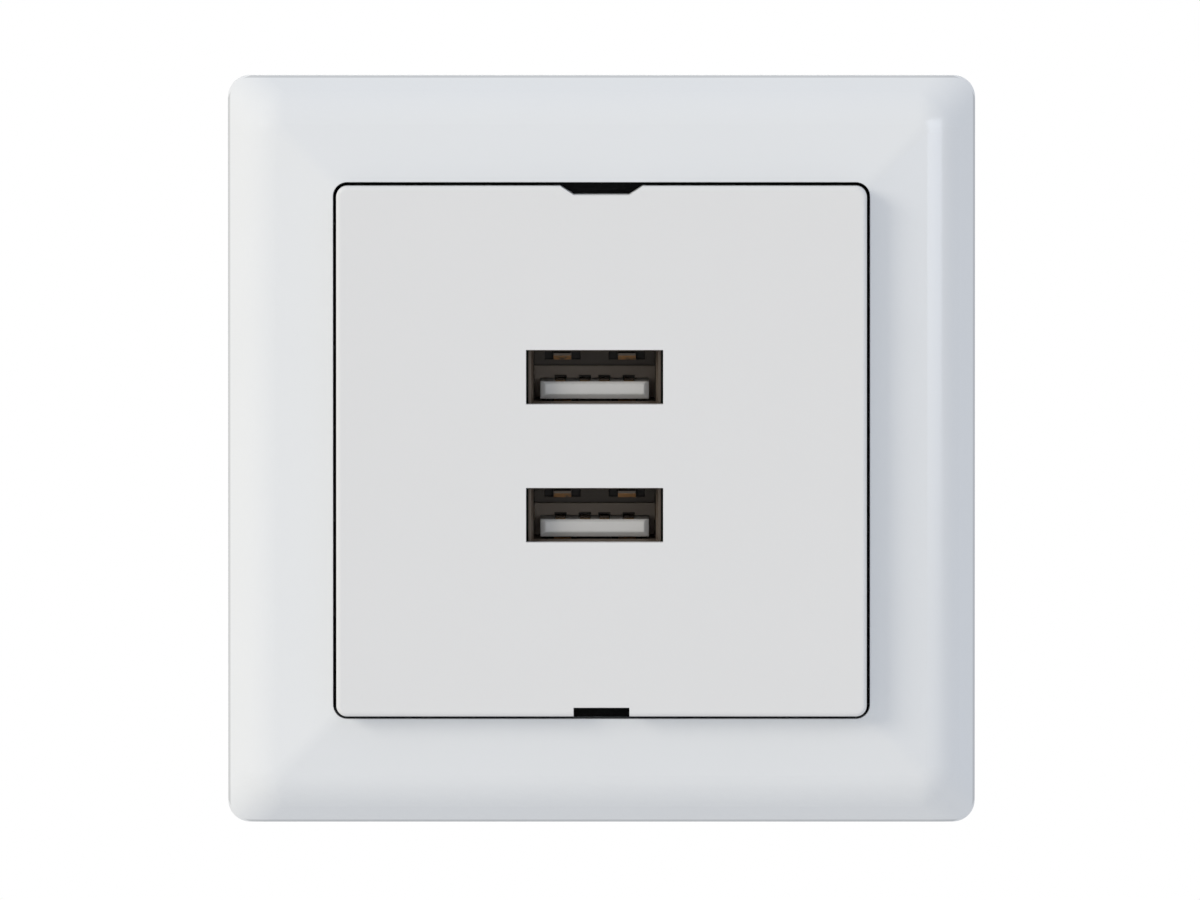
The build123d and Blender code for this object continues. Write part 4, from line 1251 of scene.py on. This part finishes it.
@dataclass
class Can:
    """Electrolytic capacitor: rolled rim, crimp groove and a scored vent in its top."""

    wardrobe: Wardrobe
    node: str
    rim: float = 0.35 * MM
    dish: float = 0.25 * MM
    crimp: float = 0.3 * MM
    crimp_place: float = 1.8 * MM
    score: float = 0.24 * MM
    score_depth: float = 0.14 * MM
    score_share: float = 0.85
    broken: float = 0.05 * MM

    def build(self) -> None:
        """Models the can over its plain solid."""
        low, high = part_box(self.node)
        radius = (high.x - low.x) / 2
        groove = high.y - self.crimp_place
        floor = low.y + self.dish
        vent = radius - 3 * self.rim
        profile = [
            (0, floor),
            (vent, floor),
            (radius - 2 * self.rim, low.y),
            (radius - self.rim, low.y),
            (radius - 0.3 * self.rim, low.y + 0.3 * self.rim),
            (radius, low.y + self.rim),
            (radius, groove - 1.5 * self.rim),
            (radius - self.crimp, groove),
            (radius, groove + 1.5 * self.rim),
            (radius, high.y - self.rim),
            (radius - self.rim, high.y),
            (0, high.y),
        ]
        can = Bench.turn(f"{self.node}_can", profile, Facets.LARGE)
        reach, half = self.score_share * vent, self.score / 2
        for x, z in ((reach, half), (half, reach)):
            Bench.cut(can, Bench.bar((-x, low.y - MM, -z), (x, floor + self.score_depth, z)))
        Bench.soften(can, self.broken)
        middle = (low + high) / 2
        Bench.shift(can, (middle.x, 0, middle.z))
        self.wardrobe.mount(can, Slot.CAN, BODY, self.node)


@dataclass
class Chip:
    """Moulded chip with a mark for its first lead and bent leads on two sides."""

    wardrobe: Wardrobe
    node: str
    away: Face
    row: Axis
    leads: int
    pitch: float
    lead_width: float
    sheet: float = 0.2 * MM
    shoulder: float = 0.25 * MM
    drop: float = 0.25 * MM
    foot: float = 0.5 * MM
    draft: float = 0.12
    mark: float = 0.35 * MM
    mark_depth: float = 0.1 * MM
    broken: float = 0.06 * MM
    lead_broken: float = 0.03 * MM

    def build(self) -> None:
        """Models the body and its leads."""
        low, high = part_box(self.node)
        self.body(low, high)
        self.bent_leads(low, high)

    def body(self, low: Vector, high: Vector) -> None:
        """Models the moulding, with a draft from its waist to its top and foot.

        Args:
            low: Lowest corner of the chip.
            high: Highest corner.
        """
        waist = (low.y + high.y) / 2
        draft = self.draft * (high.y - low.y)
        body = Bench.bar((low.x, waist - draft / 2, low.z), (high.x, waist + draft / 2, high.z))
        body.name = f"{self.node}_moulding"
        rise = (high.y - low.y - draft) / 2
        for way in (-1, 1):
            Bench.pull(body, (0, way, 0), [(0, way * rise, 0)])
        width, height = high.x - low.x, high.z - low.z
        Bench.taper(body, draft, (1 - 2 * draft / width, 1, 1 - 2 * draft / height), (low + high) / 2)
        top = high.y if self.away is Face.BACK else low.y
        deep, clear = top - self.away * self.mark_depth, top + self.away * MM
        well = [(0, deep), (self.mark, deep), (self.mark, clear), (0, clear)]
        mark = Bench.turn("mark", well, Facets.SMALL)
        inset = 2.4 * self.mark
        Bench.shift(mark, (low.x + inset, 0, high.z - inset))
        Bench.cut(body, mark)
        Bench.soften(body, self.broken)
        self.wardrobe.mount(body, Slot.CHIP, BODY, self.node)

    def bent_leads(self, low: Vector, high: Vector) -> None:
        """Models one lead of each side and copies it along the row.

        Args:
            low: Lowest corner of the chip.
            high: Highest corner.
        """
        across = Axis.Z if self.row is Axis.X else Axis.X
        board = low.y if self.away is Face.BACK else high.y
        waist = (low.y + high.y) / 2
        fall = board + self.away * self.sheet / 2 - waist
        start = -(self.leads - 1) / 2 * self.pitch
        made = []
        for side, wall in ((-1, low), (1, high)):
            face = getattr(wall, across.value.lower())
            inner, outer = sorted((face - side * self.sheet, face + side * self.shoulder))
            ends = {across: (inner, outer), self.row: (-self.lead_width / 2, self.lead_width / 2)}
            ends[Axis.Y] = (waist - self.sheet / 2, waist + self.sheet / 2)
            lead = Bench.bar(*(tuple(ends[axis][end] for axis in Axis) for end in (0, 1)))
            facing = tuple(side * (axis is across) for axis in Axis)
            steps = [
                tuple(side * self.drop * (axis is across) + fall * (axis is Axis.Y) for axis in Axis),
                tuple(side * self.foot * (axis is across) for axis in Axis),
            ]
            Bench.pull(lead, facing, steps)
            middle = getattr((low + high) / 2, self.row.value.lower())
            for index in range(self.leads):
                move = tuple((middle + start + index * self.pitch) * (axis is self.row) for axis in Axis)
                made.append(Bench.copy(lead, f"lead_{side}_{index}", move))
            bpy.data.objects.remove(lead)
        first, *others = made
        Bench.join(first, others)
        first.name = f"{self.node}_leads"
        Bench.soften(first, self.lead_broken)
        self.wardrobe.mount(first, Slot.PIN, BODY)


@dataclass
class Solder:
    """Solder cones round the pins that come through a board."""

    wardrobe: Wardrobe
    name: str
    board: str
    places: list[tuple[float, float]]
    away: Face = Face.BACK
    radius: float = 0.8 * MM
    height: float = 0.6 * MM
    crease: float = 50

    def build(self) -> None:
        """Models one cone and copies it to each pin."""
        low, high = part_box(self.board)
        face = high.y if self.away is Face.BACK else low.y
        rise = self.away * self.height
        flank = [(1.0, 0.0), (0.72, 0.16), (0.58, 0.42), (0.52, 0.8), (0.4, 1.0)]
        sides = [(share * self.radius, face + lift * rise) for share, lift in flank]
        cone = Bench.turn(self.name, [(0, face), *sides, (0, face + rise)], Facets.SMALL)
        Bench.smooth(cone, self.crease)
        first, *others = ((x, 0, z) for x, z in self.places)
        copies = [Bench.copy(cone, f"cone_{index}", place) for index, place in enumerate(others)]
        Bench.shift(cone, first)
        Bench.join(cone, copies)
        self.wardrobe.mount(cone, Slot.PIN, BODY)


@dataclass
class PowerParts:
    """Turned parts of the power board: choke, disc capacitor and fuse."""

    wardrobe: Wardrobe
    crease: float = 40
    cap: float = 1.1 * MM
    lip: float = 0.15 * MM

    def build(self) -> None:
        """Models the three parts."""
        self.choke("filter_choke")
        self.disc("safety_capacitor")
        self.fuse("input_fuse")

    def finish(self, piece: Piece, slot: Slot, place: Point, *nodes: str) -> None:
        """Shades a turned part smooth, puts it in place and mounts it.

        Args:
            piece: The part, modelled about the origin.
            slot: The slot of its finish.
            place: Where it goes.
            nodes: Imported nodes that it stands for.
        """
        Bench.smooth(piece, self.crease)
        Bench.shift(piece, place)
        self.wardrobe.mount(piece, slot, BODY, *nodes)

    def choke(self, node: str) -> None:
        """Sleeved drum with a flange at each end and a dished core.

        Args:
            node: The node that it stands for.
        """
        low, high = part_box(node)
        radius = (high.x - low.x) / 2
        dish = [(0, 0.5), (0.45, 0.5), (0.5, 0.1), (0.86, 0), (0.97, 0.15), (1, 0.45)]
        flange = [(1, 1.0), (0.94, 1.5), (0.92, 2.2)]
        foot = [(1, 0.3), (0.9, 0), (0, 0)]
        profile = [(share * radius, low.y + drop * MM) for share, drop in dish + flange]
        profile += [(share * radius, high.y - drop * MM) for share, drop in flange[::-1] + foot]
        middle = (low + high) / 2
        self.finish(Bench.turn(f"{node}_drum", profile), Slot.CHOKE, (middle.x, 0, middle.z), node)

    def disc(self, node: str) -> None:
        """Dipped disc, crowned on both faces.

        Args:
            node: The node that it stands for.
        """
        low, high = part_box(node)
        radius, half = (high.y - low.y) / 2, (high.x - low.x) / 2
        crown = [(0.0, 1.0), (0.3, 0.98), (0.55, 0.91), (0.75, 0.77), (0.9, 0.53), (0.97, 0.28)]
        profile = [(share * radius, -rise * half) for share, rise in crown]
        profile += [(radius, 0)] + [(share * radius, rise * half) for share, rise in reversed(crown)]
        disc = Bench.turn(f"{node}_dipped", profile, Facets.LARGE)
        Bench.swing(disc, math.pi / 2, Axis.Z)
        self.finish(disc, Slot.DISC, tuple((low + high) / 2), node)

    def fuse(self, node: str) -> None:
        """Lacquered barrel between two pressed end caps.

        Args:
            node: The node that it stands for.
        """
        low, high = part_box(node)
        radius, half = (high.y - low.y) / 2, (high.x - low.x) / 2
        cap, lip = self.cap, self.lip
        neck = [(0, lip), (0.8 * radius, lip), (0.8 * radius, cap), (0.9 * radius, cap + lip)]
        barrel = [(reach, inset - half) for reach, inset in neck]
        barrel += [(reach, half - inset) for reach, inset in reversed(neck)]
        bowl = [(0, 0), (radius - 2 * lip, 0), (radius - 0.5 * lip, 0.5 * lip), (radius, 2 * lip)]
        bowl += [(radius, cap - lip), (radius - lip, cap), (0, cap)]
        body = Bench.turn(f"{node}_barrel", barrel)
        caps, other = (
            Bench.turn(f"{node}_caps", [(reach, side * (half - inset)) for reach, inset in bowl])
            for side in (-1, 1)
        )
        Bench.join(caps, [other])
        for piece in (body, caps):
            Bench.swing(piece, math.pi / 2, Axis.Z)
        place = tuple((low + high) / 2)
        self.finish(body, Slot.FUSE, place, node)
        self.finish(caps, Slot.PIN, place)


@dataclass
class ChargerModule:
    """Electronics: cover, case, boards and the parts on them."""

    wardrobe: Wardrobe
    header_pitch: float = 2.54 * MM
    header_pins: int = 4
    winding_pitch: float = 3.0 * MM
    winding_pin: float = 0.3 * MM
    contact_places: tuple[float, ...] = (-3.5 * MM, -1.0 * MM, 1.0 * MM, 3.5 * MM)

    def build(self) -> None:
        """Dresses the module and models the parts on its boards."""
        dress = self.wardrobe.dress
        dress(Slot.COVER, "module_front")
        dress(Slot.CASE, "module_case")
        dress(Slot.TERMINAL, "terminal_block")
        dress(Slot.BOARD, "usb_board", "power_board")
        dress(Slot.PIN, "header_pins", "transformer_pins")
        dress(Slot.CHIP, "header_spacer")
        dress(Slot.FERRITE, "transformer_core")
        dress(Slot.BOBBIN, "transformer_bobbin")
        dress(Slot.TAPE, "transformer_coil")
        for node in ("output_capacitor", "input_capacitor_lower", "input_capacitor_upper"):
            Can(self.wardrobe, node).build()
        for node, away, row, leads, pitch, width in (
            ("charge_controller", Face.BACK, Axis.Z, 4, 1.27 * MM, 0.42 * MM),
            ("output_diode", Face.BACK, Axis.X, 1, 0.0, 1.5 * MM),
            ("bridge_rectifier", Face.FRONT, Axis.X, 2, 2.54 * MM, 0.7 * MM),
        ):
            Chip(self.wardrobe, node, away, row, leads, pitch, width).build()
        PowerParts(self.wardrobe).build()
        self.solder()

    def solder(self) -> None:
        """Solders the pins of both boards."""
        low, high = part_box("header_pins")
        first, row = (1 - self.header_pins) / 2, (low.z + high.z) / 2
        header = [((first + pin) * self.header_pitch, row) for pin in range(self.header_pins)]
        low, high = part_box("transformer_pins")
        rows = (low.z + self.winding_pin, high.z - self.winding_pin)
        middle = (low.x + high.x) / 2
        winding = [(middle + step * self.winding_pitch, row) for row in rows for step in (-1, 0, 1)]
        contacts = []
        for row in Row:
            low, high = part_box(f"usb_contacts_{row.value}")
            middle = (low + high) / 2
            contacts += [(middle.x + place, middle.z) for place in self.contact_places]
        Solder(self.wardrobe, "usb_board_header_solder", "usb_board", header, Face.FRONT).build()
        Solder(self.wardrobe, "usb_board_contact_solder", "usb_board", contacts).build()
        Solder(self.wardrobe, "power_board_solder", "power_board", header + winding).build()


@dataclass
class Studio:
    """Camera, light and floor: a plain studio with the socket as it hangs on a wall."""

    distance: float = 2.5
    elevation: float = 2.25
    # Size of the picture, and width and middle of the frame in it, in pixels.
    image: tuple[int, int] = (1200, 900)
    frame_pixels: float = 746
    centre: tuple[float, float] = (601.5, 447.8)
    frame_side: float = 76.5 * MM
    # Strength, tint, place in metres and size of each light.
    ambient: float = 0.75
    cool: Colour = (0.94, 0.995, 1.11)
    warm: Colour = (1.005, 0.98, 0.945)
    slant: float = 0.35
    key: float = 0.4
    key_tint: Colour = (1.06, 0.985, 0.88)
    key_place: Point = (-1.445, -1.224, 0.642)
    key_size: float = 0.86
    strip: float = 2.4
    strip_place: Point = (0.438, -0.521, 0.163)
    strip_width: float = 0.39
    strip_tint: Colour = (0.9, 0.97, 1.12)
    floor_side: float = 0.5
    floor_drop: float = 0.3
    floor_grain: float = 40 * MM
    floor_tones: tuple[Colour, Colour] = (seen(236, 236, 236), seen(240, 240, 240))
    clip: tuple[float, float] = (0.01, 20)

    def build(self) -> None:
        """Sets up the whole studio."""
        bpy.context.scene.view_settings.view_transform = "Standard"
        self.camera()
        self.key_lamp()
        self.strip_lamp()
        self.world()
        self.floor()

    def camera(self) -> None:
        """Long lens from just above the middle, framed as in the picture."""
        data = bpy.data.cameras.new("camera")
        pixel = self.frame_side / self.frame_pixels
        data.lens = data.sensor_width * self.distance / (self.image[0] * pixel)
        data.clip_start, data.clip_end = self.clip
        camera = bpy.data.objects.new("camera", data)
        tilt = math.radians(self.elevation)
        back = Vector((0, -math.cos(tilt), math.sin(tilt)))
        up = Vector((0, math.sin(tilt), math.cos(tilt)))
        aside = (self.image[0] / 2 - self.centre[0]) * pixel
        lift = (self.centre[1] - self.image[1] / 2) * pixel
        camera.location = back * self.distance + up * lift + Vector((aside, 0, 0))
        camera.rotation_euler = (math.pi / 2 - tilt, 0, 0)
        bpy.context.scene.collection.objects.link(camera)
        bpy.context.scene.camera = camera

    def lamp(self, name: str, place: Point, size: float, light: float) -> Piece:
        """Hangs a flat square lamp that looks at the socket.

        Args:
            name: Name of the lamp.
            place: Where it hangs.
            size: Width of the lamp.
            light: Light that its face gives.

        Returns:
            The lamp.
        """
        data = bpy.data.lights.new(name, "AREA")
        data.size = size
        data.energy = math.pi * size**2 * light
        lamp = bpy.data.objects.new(name, data)
        lamp.location = place
        lamp.rotation_euler = lamp.location.to_track_quat("Z", "Y").to_euler()
        bpy.context.scene.collection.objects.link(lamp)
        return lamp

    def key_lamp(self) -> None:
        """Soft key light from the upper left, with no mirror image of its own."""
        light = math.pi * self.key * Vector(self.key_place).length_squared / self.key_size**2
        key = self.lamp("key", self.key_place, self.key_size, light)
        key.data.shape = "DISK"
        key.data.color = self.key_tint
        key.visible_glossy = False

    def strip_lamp(self) -> None:
        """Panel at the upper right that only mirrors in the glossy frame and in metal."""
        strip = self.lamp("strip", self.strip_place, self.strip_width, self.strip)
        strip.data.color = self.strip_tint
        strip.visible_diffuse = False

    def world(self) -> None:
        """Even light, cooler from the upper right, in front of a white background."""
        world = bpy.data.worlds.new("studio")
        bpy.context.scene.world = world
        tree = Tree(world)
        rays = [f"Is {kind} Ray" for kind in ("Camera", "Glossy", "Transmission")]
        camera, glossy, through = (tree.add("ShaderNodeLightPath", {}, {}, ray) for ray in rays)
        way = tree.add("ShaderNodeTexCoord", {}, {}, "Generated")
        x, z = (tree.add("ShaderNodeSeparateXYZ", {}, {"Vector": way}, axis) for axis in "XZ")
        hue = tree.blend(0.5 + self.slant * (x + z), self.warm, self.cool)
        even = {"Color": hue, "Strength": self.ambient}
        choice = {
            0: (camera + glossy + through).step(0.0, 1.0),
            1: tree.add("ShaderNodeBackground", {}, even),
            2: tree.add("ShaderNodeBackground", {}, {"Color": (1, 1, 1, 1)}),
        }
        shown = tree.add("ShaderNodeMixShader", {}, choice)
        tree.add("ShaderNodeOutputWorld", {}, {"Surface": shown}, None)

    def floor(self) -> None:
        """Pale floor below the picture."""
        Bench.clear()
        bpy.ops.mesh.primitive_plane_add(size=self.floor_side, location=(0, 0, -self.floor_drop))
        floor = bpy.context.object
        floor.name = "studio_floor"
        recipe = Recipe("studio_floor")
        paper = recipe.cloud(self.floor_grain)
        recipe.shine(Base_Color=recipe.blend(paper, *self.floor_tones), Roughness=0.8)
        floor.data.materials.append(recipe.material)


def main() -> None:
    """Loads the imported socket, dresses it and sets up the studio."""
    logging.basicConfig(level=logging.INFO, format="%(message)s")
    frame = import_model()
    wardrobe = Wardrobe(frame["nodes"])
    WallPlate(wardrobe).build()
    for row in Row:
        UsbPort(wardrobe, row).build()
    ClawMount(wardrobe).build()
    for pole in Pole:
        ClampTerminal(wardrobe, pole).build()
    ChargerModule(wardrobe).build()
    Studio().build()


if __name__ == "__main__":
    main()
